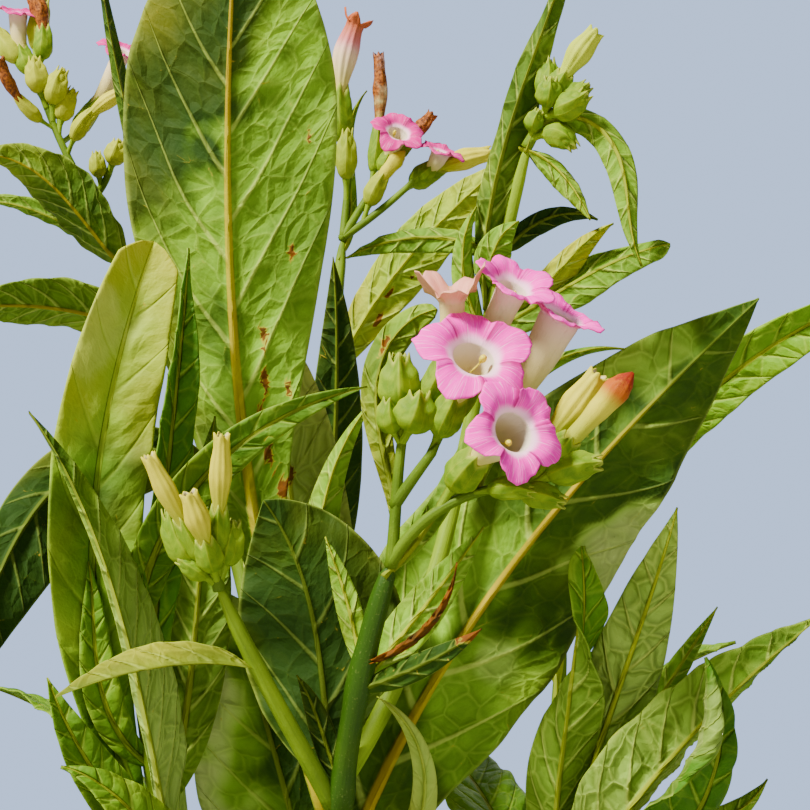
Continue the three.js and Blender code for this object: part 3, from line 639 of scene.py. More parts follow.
# Noise, in waves to a millimetre
WANDER_SCALE = 0.03
PUCKER_SCALE = 0.11
FINE_PUCKER_SCALE = 0.21
LARGE_SWELL_SCALE = 0.035
PATCH_SCALE = 0.09
VEIN_SHARE = 0.1  # keeps the numbers of the laterals small in their attribute
SEED_STEP = 60.0  # sets the noise of one leaf off from the next one's
# (length, width, cells across, cells lengthwise) for the leaves above that length and width
BLADE_SIZES = [(160, 60, 56, 180), (160, 0, 36, 140), (90, 18, 30, 96), (90, 0, 20, 72), (0, 0, 14, 44)]


def half_width(leaf, s):
    inner = np.clip(s, 1e-6, 1 - 1e-6)
    broad, fullness = leaf["broad"], leaf["fullness"]
    rise = (inner / broad) ** (fullness * broad)
    fall = ((1 - inner) / (1 - broad)) ** (fullness * (1 - broad))
    blade = np.maximum(rise * fall, leaf["foot"] * (1 - inner) ** 2)
    return np.maximum(leaf["width"] / 2 * blade, TIP_HALF_WIDTH)


class Blade:
    """The points of a leaf. t is -1 to 1 across, a its size, and s the share along, below 0 in the stem;
    inner is s without that. x and y are millimetres from the midrib and from the foot."""

    def __init__(self, flat, leaf, seed):
        self.leaf = leaf
        self.seed = seed
        self.upper = flat[:, 2] > -0.1
        self.t = np.sign(flat[:, 0]) * np.abs(flat[:, 0]) ** CROWDING
        self.a = np.abs(self.t)
        sunk = SINK / leaf["length"]
        self.s = (flat[:, 1] + 1) / 2 * (1 + sunk) - sunk
        self.inner = np.clip(self.s, 0, 1)
        self.halves = self.by_side(leaf["halves"])
        blunt = np.sqrt(np.clip((1 - self.inner) / CUT_ROUNDING, 0, 1)) if leaf["cut"] < 1 else 1.0
        width = half_width(leaf, self.inner * leaf["cut"]) * self.halves * blunt
        self.reach = np.maximum(width, TIP_HALF_WIDTH)
        self.x = self.t * self.reach
        self.y = self.s * leaf["length"]
        self.spot = columns(self.x, self.y, seed * SEED_STEP)
        self.lateral = leaf.get("lateral", 6 + 0.07 * leaf["length"])
        self.vein = self.veins()
        self.size = leaf["pucker"] * min(1.0, (leaf["width"] / FULL_PUCKER_WIDTH) ** 0.5)
        off_ends = smooth(0.0, 0.12, 1 - self.inner) * smooth(0.0, 0.08, self.inner)
        self.away = smooth(0.02, 0.25, self.a) * off_ends
        self.rib = 0.25 + (0.3 + leaf["length"] * 0.0065) * (1 - self.inner) ** 0.8

    def by_side(self, values):
        return np.where(self.t > 0, along(values[1], self.inner), along(values[0], self.inner))

    def sloping(self, share):
        """Millimetres along the leaf, less a share of what its laterals rise."""
        return self.y - share * self.leaf["slope"] * np.abs(self.x)

    def veins(self):
        """Number of the lateral at each point. They leave the midrib steeply and bend up at the margin."""
        half = self.leaf["width"] / 2 * np.maximum(self.halves, 1)
        bend_up = VEIN_BEND * np.abs(self.x) ** 2 / half
        wander = VEIN_WANDER * grain(self.spot, WANDER_SCALE)
        return (self.sloping(1) - bend_up) / self.lateral + wander + np.where(self.t > 0, OTHER_SIDE, 0.0)

    def swell(self):
        """The blade swells between its veins."""
        between = np.abs(np.sin(np.pi * self.vein)) ** 0.7
        skewed = columns(self.x, self.sloping(0.5), self.spot[:, 2])
        cells = grain(skewed, PUCKER_SCALE, 1) + 0.45 * grain(skewed, FINE_PUCKER_SCALE, 2)
        small = self.size * self.away * (SWELL * (between - 0.6) + SWELL * cells)
        large = grain(self.spot, LARGE_SWELL_SCALE, 3)
        return small + self.size * LARGE_SWELL * self.away * large * self.a

    def bent(self):
        """How far each point is out to its side and up, on a folded and curled blade with a waved margin."""
        leaf = self.leaf
        fold = np.radians(along(leaf["fold"], self.inner))
        bow = np.radians(self.by_side(leaf.get("curls", [leaf["curl"], leaf["curl"]])))
        steps = [self.a * (k + 0.5) / CURL_STEPS for k in range(CURL_STEPS)]
        lean = [fold + bow * step ** leaf["edge"] for step in steps]
        out = self.reach * self.a * np.mean(np.cos(lean), axis=0)
        lift = self.reach * self.a * np.mean(np.sin(lean), axis=0)
        phase = self.by_side(WAVE_PHASES)
        waves = np.sin(2 * np.pi * leaf["waves"] * self.inner + phase)
        number = leaf["waves"] * RIPPLES_TO_WAVE * self.inner + 0.31 * self.seed
        ripples = np.sin(2 * np.pi * number + 2 * phase)
        lift += leaf["wave"] * 2 * self.reach * self.a * self.a * waves
        lift += RIPPLE * self.reach * self.a ** 3 * ripples
        return out, lift

    def level(self):
        """Height of each shell. Midrib and laterals stand out on the underside and are grooves above."""
        near_rib = np.clip(1 - np.abs(self.x) / (self.rib * 1.25), 0, 1) ** 0.5
        off_vein = np.abs(self.vein - np.round(self.vein)) * self.lateral
        ridge = np.clip(1 - off_vein / 1.3, 0, 1) * (1 - 0.7 * self.a)
        under = self.rib * 1.5 * near_rib + LATERAL_RIDGE * self.size * ridge * self.away
        thick = THICKNESS * smooth(0, 0.06, 1 - self.a) + MARGIN
        groove = GROOVE * self.rib * near_rib * min(1.0, self.leaf["quilt"])
        return np.where(self.upper, thick - groove, -thick - under)

    def off(self, s, t):
        """Millimetres along and across from a named place of the leaf."""
        return self.y - s * self.leaf["length"], self.x - t * self.leaf["width"] / 2

    def burnt(self):
        burn = np.zeros_like(self.x)
        for s, t, size in self.leaf["burns"]:
            off_y, off_x = self.off(s, t)
            off = np.hypot(BURN_SHAPE[0] * off_y, BURN_SHAPE[1] * off_x)
            burn = np.maximum(burn, 1 - off / size)
        return np.maximum(burn, along(self.leaf["dry"], self.inner))

    def toned(self):
        """Tone and paleness, with their changes in the patches of painted light and shade."""
        tone = along(self.leaf["tone"], self.inner)
        pale = along(self.leaf["pale"], self.inner)
        ragged = grain(self.spot, PATCH_SCALE, 4) if self.leaf["patches"] else 0
        for s, t, size, change, whiter in self.leaf["patches"]:
            off = np.hypot(*self.off(s, t)) * (1 + 0.5 * ragged)
            share = 1 - smooth(*PATCH_FADE, off / size)
            tone = tone + change * share
            pale = pale + whiter * share
        return tone, pale

    def attributes(self):
        """What the leaf's finish reads."""
        leaf = self.leaf
        tone, pale = self.toned()
        return {
            "veins": columns(self.vein * VEIN_SHARE, self.t, self.inner),
            "blade": columns(self.x * MM, self.sloping(0.35) * MM, self.seed * 0.6),
            "looks": columns(along(leaf["age"], self.inner), self.burnt(), tone),
            "ribs": columns(along(leaf["rib"], self.inner), self.lateral * MM, self.rib * MM),
            "marks": columns(pale, leaf["fresh"], leaf["quilt"]),
        }


def leaf_piece(name, line, row, seed):
    leaf = {**LEAF, **row}

    def place(flat):
        blade = Blade(flat, leaf, seed)
        point, tangent, front = line.at(blade.s)
        roll = np.radians(along(leaf["roll"], blade.inner))[:, None]
        normal = front * np.cos(roll) + np.cross(tangent, front) * np.sin(roll)
        side = np.cross(tangent, normal)
        out, lift = blade.bent()
        up = lift + blade.swell() + blade.level()
        moved = point + side * (np.sign(blade.t) * out)[:, None] + normal * up[:, None]
        return moved, blade.attributes()

    sizes = next(size[2:] for size in BLADE_SIZES if row["length"] > size[0] and row["width"] > size[1])
    return copied(shape_of(blade_shape, *sizes), name, [UPPER_SIDE, UNDERSIDE], place)


# Stems

RIBBING = 0.12
JOINT_SWELLING = 0.07
JOINT_REACH = 5  # millimetres
TAPER_REACH = 14
END_ROUNDING = 1.8
ON_AXIS = 0.5  # distance within which a unit rod's point is on its axis
INNER = 0.9  # and on the inner shell


def polar(flat):
    """Turn round a unit rod, distance from its axis, and share along it."""
    return np.arctan2(flat[:, 1], flat[:, 0]), np.hypot(flat[:, 0], flat[:, 1]), flat[:, 2]


def stem_piece(name, line, row, seed, finish, flare=0.0, sides=20):
    """A rod along a stem that is ribbed, and swollen where leaves leave it."""
    length = row["length"]

    def place(flat):
        turn, distance, u = polar(flat)
        sunk = row.get("sink", SHOOT_SINK) / length
        s = u * (1 + sunk) - sunk
        inner = np.clip(s, 0, 1)
        radius = along(row["girth"], inner) * row.get("slim", 1.0)
        radius = radius + flare * np.exp(-inner * length / FLARE_HEIGHT)
        for joint in row.get("joints", []):
            radius = radius * (1 + JOINT_SWELLING * np.exp(-((inner - joint) * length / JOINT_REACH) ** 2))
        end = (1 - inner) * length
        thinned = 1 - row.get("taper", 0.0) * (1 - smooth(0, TAPER_REACH, end))
        radius = radius * thinned * np.sqrt(np.clip((end + 0.3) / END_ROUNDING, 0, 1))
        ribs = RIBBING * np.cos(5 * turn + 3 * inner) + 0.5 * RIBBING * np.cos(11 * turn - 5 * inner)
        reach = np.where(distance < ON_AXIS, 0, radius * (1 + 0.25 * ribs))
        run = columns(turn, inner * length * MM, seed * 0.37)
        looks = columns(0.0, 0.0, along(row.get("tone", 0.5), inner))
        return line.around(s, turn, reach), {"run": run, "looks": looks}

    rings = int(max(6, min(140, length / 4)))
    rings = 8 * math.ceil(rings / 8)
    return copied(shape_of(rod_shape, sides, rings), name, [finish], place)


# Blooms: u is the share of a part's own length, and lobe is -1 to 1 across one of the five lobes

LOBES = 5
THROAT = 0.34  # of the limb
LIMB_DEPTH = 0.17  # of the limb
LARGEST_LIMB_DEPTH = 0.16  # of the bloom's length
MOUTH = 0.6  # share of the rod's length where the throat ends and the limb starts
WALL = 0.3
CALYX_WALL = 0.35
LEAST_RADIUS = 0.15
STYLE_LENGTH = 10.0
STYLE_TOP = 0.95
KNOB = 0.06  # of the limb
KNOB_START = 0.72  # share of the style
STYLE_SHARE = 0.22  # of the knob
TOOTH_DEPTH = 0.2
CALYX_RIBS = [(1, 0.05), (2, 0.02), (4, 0.012)]  # number to a lobe, and depth
CREASE = 0.07  # of the limb, as the next three
TURNED_BACK = 0.13
LIMB_WAVE = 0.035
LOBE_WAVE = 0.02
CREASE_WIDTH = 0.16

# Radii of the parts by u, as shares of the girth
PEDICEL_PROFILE = [(0, 0.3), (0.6, 0.28), (1, 0.42)]
CUP_PROFILE = [(0, 0.3), (0.12, 0.8), (0.35, 1.06), (0.65, 0.98), (0.85, 0.8), (1, 0.64)]
CLOSED_CUP_PROFILE = [(0, 0.3), (0.12, 0.8), (0.35, 1.06), (0.65, 0.94), (0.86, 0.58), (1, 0.5)]
CAPSULE_PROFILE = [(0, 0.4), (0.3, 0.85), (0.7, 0.7), (0.93, 0.3), (1, 0.1)]
BUD_PROFILE = [(0, 0.55), (0.35, 0.58), (0.6, 0.76), (0.78, 0.9), (0.9, 0.62), (1, 0.1)]


def lobe_of(turn):
    share = turn * LOBES / (2 * np.pi)
    return 2 * (share - np.round(share))


def profile_at(rings, u):
    """Value at u of a smooth profile given as (u, value) rows."""
    places = np.array([ring[0] for ring in rings])
    values = np.array([ring[1] for ring in rings])
    k = np.clip(np.searchsorted(places, u, side="right") - 1, 0, len(rings) - 2)
    share = smooth(places[k], places[k + 1], u)
    return values[k] * (1 - share) + values[k + 1] * share


def petal_values(u, lobe, row, tip=0.0):
    """What the petals' finish reads; tip is how far a point is on a bud's or a narrow corolla's end."""
    wither = row.get("wither", 0.0) + row.get("rim", 0.0) * smooth(0.86, 1.0, u)
    flush = columns(wither, row.get("tip", 0.0) * tip, row.get("green", 0.0))
    return {"petal": columns(u, lobe, row["tint"]), "flush": flush}


def pedicel(line, row, end):
    def place(flat):
        turn, distance, u = polar(flat)
        s = u * end
        radius = np.where(distance < ON_AXIS, 0, profile_at(PEDICEL_PROFILE, u) * row["girth"])
        run = columns(turn, s * row["length"] * MM, row["seed"] * 0.21)
        return line.around(s, turn, radius), {"run": run, "looks": columns(0 * s, 0.0, 0.7)}

    return copied(shape_of(rod_shape, 10, 8), "pedicel", [STEM_GREEN], place)


def calyx(line, row, low, high, open_mouth):
    """Ribbed cup with five pointed teeth."""
    girth = row["girth"] * row.get("cup", 1.0)
    profile = CUP_PROFILE if open_mouth else CLOSED_CUP_PROFILE

    def place(flat):
        turn, distance, u = polar(flat)
        turn = turn + row["seed"]
        lobe = lobe_of(turn)
        tooth = (1 - np.abs(lobe)) ** 1.4
        top = high - (high - low) * TOOTH_DEPTH * (1 - tooth)
        s = low + (top - low) * u
        ribs = sum(depth * np.cos(times * LOBES * turn) for times, depth in CALYX_RIBS)
        radius = profile_at(profile, u) * girth * (1 + ribs * smooth(0.05, 0.3, u))
        radius = np.maximum(radius - np.where(distance < INNER, CALYX_WALL, 0), LEAST_RADIUS)
        cup = columns(u, lobe, row.get("pale", 0.15))
        blade = columns(turn * girth * MM, u * (high - low) * row["length"] * MM, row["seed"] * 0.4)
        return line.around(s, turn, radius), {"cup": cup, "blade": blade}

    return copied(shape_of(rod_shape, 40, 14, shell=True), "calyx", [CALYX_GREEN, CALYX_GREEN], place)


def capsule(line, row, low, high):
    """The pointed green seed pod inside a calyx without a corolla."""
    def place(flat):
        turn, distance, u = polar(flat)
        s = low + (high - low) * u
        radius = np.where(distance < ON_AXIS, 0, profile_at(CAPSULE_PROFILE, u) * row["girth"])
        cup = columns(u, lobe_of(turn), row.get("pale", 0.15))
        blade = columns(turn * MM, u * MM * 8, row["seed"])
        return line.around(s, turn, radius), {"cup": cup, "blade": blade}

    return copied(shape_of(rod_shape, 16, 12), "capsule", [CALYX_GREEN], place)


def corolla(line, row, low, high):
    """Open trumpet: a tube that swells to its throat, and a flat limb of five pointed lobes."""
    girth, limb, seed = row["girth"], row["limb"], row["seed"]
    throat = THROAT * limb * row.get("fat", 1.0)
    reach = min(LIMB_DEPTH * limb / row["length"], LARGEST_LIMB_DEPTH)
    tube_profile = [
        (0, 0.62 * girth), (0.2, 0.66 * girth), (0.42, 0.92 * throat), (0.55, 1.02 * throat), (MOUTH, throat)]

    def crease_at(a, spread):
        """The lobes pinch into creases at their notches."""
        return np.exp(-((1 - a) / CREASE_WIDTH) ** 2) * spread

    def bends(turn, lobe, spread):
        """Millimetres by which the limb cups, turns back at its tips, and waves."""
        a = np.abs(lobe)
        number = np.round(turn * LOBES / (2 * np.pi))
        rise = CREASE * limb * crease_at(a, spread) - TURNED_BACK * limb * spread ** 3 * (1 - a)
        rise += LIMB_WAVE * limb * spread * np.sin(3 * turn + seed * 2.1)
        rise += LOBE_WAVE * limb * np.sin(9 * lobe) * spread
        rise += row.get("cupped", 0.1) * limb * spread ** 2 * np.sin(2.3 * number + seed) * (1 - a) ** 0.5
        return rise + row.get("raised", 0.0) * limb * spread * (1 - a ** 2)

    def place(flat):
        turn, distance, u = polar(flat)
        turn = turn + seed * 1.3
        inner = distance < INNER
        lobe = lobe_of(turn)
        a = np.abs(lobe)
        outline = 0.72 + 0.12 * (1 - a ** 2.2) + 0.16 * (1 - a) ** 1.4
        outline = outline + 0.012 * np.sin(31 * turn + seed) + 0.012 * np.sin(19 * turn)
        spread = np.clip((u - MOUTH) / (1 - MOUTH), 0, 1)
        in_tube = np.minimum(u, MOUTH)
        radius = profile_at(tube_profile, in_tube) + spread * (limb * outline - throat)
        radius = radius - np.where(inner & (spread == 0), WALL, 0) - 0.02 * limb * crease_at(a, spread)
        bell = np.sin(np.minimum(spread * 1.5, 1) * np.pi / 2)
        s = profile_at([(0, low), (MOUTH, high - reach)], in_tube) + bell * reach * 0.9
        rise = bends(turn, lobe, spread) - np.where(inner, 0, WALL)
        _, tangent, _ = line.at(s)
        return line.around(s, turn, radius) + tangent * rise[:, None], petal_values(u, lobe, row)

    return copied(shape_of(rod_shape, 60, 30, shell=True), "corolla", [PETAL_BACK, PETAL], place)


def narrow_corolla(line, row, low, high):
    """A tube with a small frilled mouth that has only begun to open, or is withering."""
    wither = row.get("wither", 0.0)
    mouth = row.get("mouth", 0.2)
    profile = [(0, 0.5), (0.25, 0.55), (0.62, 0.92), (0.88, 0.68), (1, 0.5 + 0.6 * mouth + 0.1 * wither)]

    def place(flat):
        turn, distance, u = polar(flat)
        turn = turn + row["seed"]
        lobe = lobe_of(turn)
        frill = smooth(0.88, 1, u)
        pleats = 0.07 * np.cos(2 * LOBES * turn + 2 * u) * smooth(0.1, 0.5, u)
        crumple = grain(columns(turn * 3, u * 12, row["seed"] * 9), 0.7, 5)
        radius = profile_at(profile, u) * row["girth"]
        radius = radius * (1 + (0.2 * frill * np.cos(LOBES * turn) + pleats) * (1 - wither))
        radius = radius * (1 + (0.06 + 0.3 * wither) * crumple * smooth(0.2, 0.7, u))
        radius = np.maximum(radius - np.where(distance < INNER, WALL, 0), 0.2)
        s = low + (high - low) * u - (high - low) * (0.04 + 0.06 * mouth) * frill * np.abs(lobe)
        share = (0.6 + 0.35 * (mouth > 0.5)) * u
        return line.around(s, turn, radius), petal_values(share, lobe, row, smooth(0.45, 0.95, u))

    return copied(shape_of(rod_shape, 40, 20, shell=True), "tube", [PETAL_BACK, PETAL], place)


def bud(line, row, low, high):
    """Closed corolla: pleated, swollen below its pointed tip."""
    def place(flat):
        turn, distance, u = polar(flat)
        turn = turn + row["seed"]
        lobe = lobe_of(turn + 1.2 * u)
        radius = profile_at(BUD_PROFILE, u) * row["girth"]
        radius = radius * (1 - 0.12 * (1 - np.abs(lobe)) ** 3 * smooth(0.4, 0.8, u))
        radius = np.where(distance < ON_AXIS, 0, radius)
        s = low + (high - low) * u
        return line.around(s, turn, radius), petal_values(0.6 * u, lobe, row, smooth(0.5, 1.0, u))

    return copied(shape_of(rod_shape, 30, 20), "bud", [PETAL_BACK], place)


def stigma(line, row):
    """The style's knob in the throat. The row's style is the turn and the millimetres by which it leans."""
    size = KNOB * row["limb"]
    lean_turn, lean_size = row.get("style", (2.1 * row["seed"], 0.12 * row["limb"]))

    def place(flat):
        turn, distance, u = polar(flat)
        in_knob = np.clip((u - KNOB_START) / (1 - KNOB_START), 0, 1)
        bulge = np.sqrt(np.clip(1 - (2 * in_knob - 1) ** 2, 0, 1))
        thread = STYLE_SHARE * size
        radius = np.where(u < KNOB_START, thread, np.maximum(thread * (u < 0.8), size * bulge))
        radius = np.where(distance < ON_AXIS, 0, radius)
        s = STYLE_TOP + (u - 1) * STYLE_LENGTH / row["length"]
        point, _, _ = line.at(s)
        lean = line.around(s, lean_turn + 0 * u, lean_size * smooth(0, 0.9, u)) - point
        return line.around(s, turn, radius) + lean, {"run": columns(turn, u * 0.01, row["seed"])}

    return copied(shape_of(rod_shape, 12, 24), "stigma", [STIGMA_YELLOW], place)


# Finishes


def operator(operation, swapped=False):
    """A method that adds a Math node for a value and, if it has one, its partner."""
    def apply(self, *others):
        values = (*others, self) if swapped else (self, *others)
        return self.finish.math(operation, *values)

    return apply


class Value:
    """A socket with Python's operators, each of which adds a Math node."""

    __add__ = __radd__ = operator("ADD")
    __sub__ = operator("SUBTRACT")
    __rsub__ = operator("SUBTRACT", swapped=True)
    __mul__ = __rmul__ = operator("MULTIPLY")
    __truediv__ = operator("DIVIDE")
    __abs__ = operator("ABSOLUTE")
    least = operator("MINIMUM")
    most = operator("MAXIMUM")
    fraction = operator("FRACT")

    def __init__(self, finish, socket):
        self.finish = finish
        self.socket = socket

    def above(self, low, high):
        """0 below low, 1 above high, soft between."""
        node = self.finish.node("ShaderNodeMapRange", {"interpolation_type": "SMOOTHSTEP"}, {
            "Value": self, "From Min": low, "From Max": high})
        return Value(self.finish, node.outputs["Result"])

    def below(self, low, high):
        return 1 - self.above(low, high)


class Finish:
    """A material and the nodes of its look."""

    def __init__(self, name, gloss):
        self.material = bpy.data.materials.new(name)
        self.material.use_nodes = True
        self.tree = self.material.node_tree
        self.shader = self.tree.nodes["Principled BSDF"]
        self.shader.inputs["Specular IOR Level"].default_value = gloss

    def node(self, kind, settings=None, sockets=None):
        node = self.tree.nodes.new(kind)
        for label, value in (settings or {}).items():
            setattr(node, label, value)
        for label, value in (sockets or {}).items():
            self.feed(node.inputs[label], value)
        return node

    def feed(self, socket, value):
        """Give a socket a number, a vector, a web colour, or what another node gives."""
        if isinstance(value, Value):
            value = value.socket
        if isinstance(value, bpy.types.NodeSocket):
            self.tree.links.new(value, socket)
        else:
            socket.default_value = tint(value) if isinstance(value, str) else value

    def math(self, operation, *values):
        node = self.node("ShaderNodeMath", {"operation": operation}, dict(enumerate(values)))
        return Value(self, node.outputs[0])

    def vector_math(self, operation, first, second):
        return self.node("ShaderNodeVectorMath", {"operation": operation}, {0: first, 1: second}).outputs[0]

    def attribute(self, label):
        """The attribute as a vector socket, and its three numbers."""
        node = self.node("ShaderNodeAttribute", {"attribute_name": label})
        parts = self.node("ShaderNodeSeparateXYZ", None, {"Vector": node.outputs["Vector"]})
        return (node.outputs["Vector"], *(Value(self, socket) for socket in parts.outputs))

    def objects_place(self):
        return self.node("ShaderNodeTexCoord").outputs["Object"]

    def noise(self, vector, scale, detail=3.0, roughness=0.5):
        node = self.node("ShaderNodeTexNoise", None, {
            "Vector": vector, "Scale": scale, "Detail": detail, "Roughness": roughness})
        return Value(self, node.outputs[0])

    def cells(self, vector, scale):
        """Distance from the edges of the cells that the small veins enclose."""
        node = self.node("ShaderNodeTexVoronoi", {"feature": "DISTANCE_TO_EDGE"}, {
            "Vector": vector, "Scale": scale})
        return Value(self, node.outputs["Distance"])

    def blend(self, factor, first, second):
        node = self.node("ShaderNodeMix", {"data_type": "RGBA"}, {0: factor, 6: first, 7: second})
        return node.outputs[2]

    def layered(self, colour, *layers):
        """A colour under others, given as (factor, colour) from the lowest up."""
        for factor, over in layers:
            colour = self.blend(factor, colour, over)
        return colour

    def finish(self, colour, roughness, relief, depth, strength):
        bump = self.node("ShaderNodeBump", None, {"Height": relief, "Distance": depth, "Strength": strength})
        self.feed(self.shader.inputs["Base Color"], colour)
        self.feed(self.shader.inputs["Roughness"], roughness)
        self.feed(self.shader.inputs["Normal"], bump.outputs["Normal"])
        return self.material


def tint(text):
    """Linear colour of a six-digit web colour."""
    parts = [int(text[i:i + 2], 16) / 255 for i in (0, 2, 4)]
    linear = [part / 12.92 if part <= 0.04045 else ((part + 0.055) / 1.055) ** 2.4 for part in parts]
    return (*linear, 1.0)


# Light flesh, which is also the painted lit green, fresh flesh, ageing flesh, dark flesh, which is also
# the painted shade, small veins and bloom
UPPER_COLOURS = ("6C9C08", "508C00", "A8A20C", "1F4602", "A2BC38", "B4C25E")
UNDER_COLOURS = ("7CAC1C", "7CA028", "ACA414", "1F3B02", "A8BC4C", "BCCC74")
RIB_COLOURS = ("92A41C", "B49800")
SCORCH_COLOURS = ("240C00", "7C3C00")
SCORCH_EDGE = "A8901C"
WOODY_HEIGHT = 0.35  # metres up the stalk
# Cells, clouds and specks to a metre
COARSE_CELLS = 120.0
MIDDLE_CELLS = 260.0
CLOUDS = 22.0
MOTTLE = 130.0
SPECKS = 1100.0
WARP = (0.008, -0.008, 0.0)  # metres by which the net's lines wander
# Laterals, in metres: their half width at the midrib, what they lose of it by the margin, and how much wider
# they are for each metre of the midrib's width
LATERAL_WIDTH = 0.0015
LATERAL_THINNING = 0.001
LATERAL_TO_RIB = 420.0
ACROSS_VEIN = 0.62  # from along the leaf to across a lateral


def small_veins(finish, blade):
    """Distances from the coarse and the middle net, whose lines are warped."""
    warp = finish.noise(blade, 60.0, detail=2.0)
    both = finish.node("ShaderNodeCombineXYZ", None, {"X": warp, "Y": warp}).outputs[0]
    bent = finish.vector_math("ADD", blade, finish.vector_math("MULTIPLY", both, WARP))
    return finish.cells(bent, COARSE_CELLS), finish.cells(bent, MIDDLE_CELLS)


def leaf_finish(name, upper):
    """A leaf's upper side or underside: midrib, laterals, the net of small veins, and the flesh between."""
    finish = Finish(name, 0.16)
    blade, x, _, _ = finish.attribute("blade")
    _, vein, t, _ = finish.attribute("veins")
    _, age, burn, tone = finish.attribute("looks")
    _, rib, spacing, rib_size = finish.attribute("ribs")
    _, pale, fresh, quilt = finish.attribute("marks")

    midrib = (abs(x) / rib_size).below(0.8, 1.2)
    order = vein * (1 / VEIN_SHARE)
    off_vein = abs((order + 0.5).fraction() - 0.5) * spacing * ACROSS_VEIN
    reach = (LATERAL_WIDTH - LATERAL_THINNING * abs(t)) * (0.35 + rib_size * LATERAL_TO_RIB)
    lateral = (off_vein / reach).below(0.3, 1.0) * abs(t).below(0.8, 0.98)
    coarse, middle = small_veins(finish, blade)
    net = coarse.below(0.0, 0.09)
    # Painted shade in the creases beside the lines of the coarse net
    crease_shade = (coarse.below(0.06, 0.24) - net).most(0.0)
    middle_net = middle.below(0.0, 0.12)
    broad = finish.noise(blade, CLOUDS)
    mottle = finish.noise(blade, MOTTLE, detail=4.0, roughness=0.6)
    speck = finish.noise(blade, SPECKS, detail=2.0)

    young_and_lit, green, old, dark_and_shade, vein_colour, bloom = UPPER_COLOURS if upper else UNDER_COLOURS
    # Painted light and shade: the tone, with random clouds, mixes the dark flesh as painted shade with the
    # light flesh as painted light, and the net and the laterals show more where the leaf is painted lit
    light_and_tone = (tone + (broad - 0.5) * 0.75 + (mottle - 0.5) * 0.35).above(0.0, 1.0)
    aged = (age * 0.7 + (broad - 0.5) * 0.7 + abs(t) * 0.12).above(0.25, 0.95)
    network = (net * 0.22 + middle_net * 0.05) * quilt * (0.1 + light_and_tone)
    lateral_shown = lateral * (0.25 + 0.45 * light_and_tone + 0.2 * rib) * (0.3 + 0.7 * quilt)
    # The midrib is painted darker where the leaf is painted in shade
    rib_colour = finish.blend(light_and_tone.most(rib) * 0.8 + 0.2, dark_and_shade, finish.blend(rib, *RIB_COLOURS))
    ragged = burn * 1.15 + (mottle - 0.5) * 1.3 + net * 0.3 + middle_net * 0.25 - 0.5
    scorched = ragged.above(0.28, 0.42)
    colour = finish.layered(
        finish.blend(light_and_tone, dark_and_shade, finish.blend(fresh, young_and_lit, green)),
        (aged, old),
        (pale * (0.6 + mottle * 0.7), bloom),
        (crease_shade * quilt * (0.15 if upper else 0.3), dark_and_shade),
        (network, vein_colour),
        (lateral_shown * (0.75 if upper else 1.0), vein_colour),
        (midrib * (0.1 + 0.85 * quilt.least(1.0)), rib_colour),
        (abs(t).above(0.94, 1.0) * 0.3, vein_colour),
        (ragged.above(0.1, 0.3) * 0.6, SCORCH_EDGE),
        (scorched * 0.92, finish.blend(mottle.above(0.3, 0.7), *SCORCH_COLOURS)),
        (speck.above(0.66, 0.74) * 0.2, dark_and_shade))

    side = -1.0 if upper else 1.0
    flat = 1 - midrib * 0.9
    pits = coarse.least(0.3) * 2.8 + middle.least(0.22) * 0.45
    ridge = (off_vein / reach).below(0.0, 1.5)
    relief = (ridge * 0.35 - pits * flat * (0.5 if upper else 0.65)) * quilt * side
    relief = relief + midrib * 0.3 * side + (broad * 0.3 + mottle * 0.3) * flat + speck * 0.05
    roughness = 0.55 + mottle * 0.2 + scorched * 0.25 if upper else 0.66 + mottle * 0.2
    return finish.finish(colour, roughness, relief, depth=0.0024, strength=0.85)


def stem_finish():
    finish = Finish("stem_green", 0.2)
    place = finish.objects_place()
    run, _, _, _ = finish.attribute("run")
    _, _, _, tone = finish.attribute("looks")
    drawn_out = finish.vector_math("MULTIPLY", run, (2.6, 40.0, 1.0))
    streak = finish.noise(drawn_out, 1.0, detail=4.0, roughness=0.6)
    patch = finish.noise(place, 45.0)
    speck = finish.noise(place, 1400.0, detail=2.0)
    # Painted shade and painted light: the stem's tone, with random patches, runs from a shaded dark green to
    # a lit yellow-green
    colour = finish.layered(
        finish.blend((tone + (patch - 0.5) * 0.9).above(0.0, 1.0), "284800", "86A410"),
        (streak.above(0.45, 0.75) * 0.35, "2E4C02"),
        (speck.above(0.6, 0.75) * 0.1, "B9C46A"))
    relief = streak * 0.5 + speck * 0.25 + patch * 0.3
    return finish.finish(colour, 0.5 + patch * 0.15, relief, depth=0.0006, strength=0.7)


def stalk_finish():
    """Ribbed rind, woody at the plant's foot."""
    finish = Finish("stalk_rind", 0.3)
    place = finish.objects_place()
    run, _, y, _ = finish.attribute("run")
    drawn_out = finish.vector_math("MULTIPLY", run, (3.0, 26.0, 1.0))
    streak = finish.noise(drawn_out, 1.0, detail=5.0, roughness=0.62)
    patch = finish.noise(place, 22.0, detail=4.0)
    speck = finish.noise(place, 900.0, detail=2.0)
    woody = (1 - y / WOODY_HEIGHT).most(0.0)
    colour = finish.layered(
        finish.blend(patch.above(0.35, 0.7), "8A9A4C", "A8A866"),
        (streak.above(0.42, 0.7) * 0.6, "667838"),
        ((woody * 0.9 + (patch - 0.5) * 0.8).above(0.25, 0.85), "8C7A50"),
        (speck.above(0.58, 0.72) * 0.4, "C9C498"))
    relief = streak * 0.8 + speck * 0.2 + patch * 0.4
    return finish.finish(colour, 0.55 + patch * 0.2, relief, depth=0.001, strength=0.9)


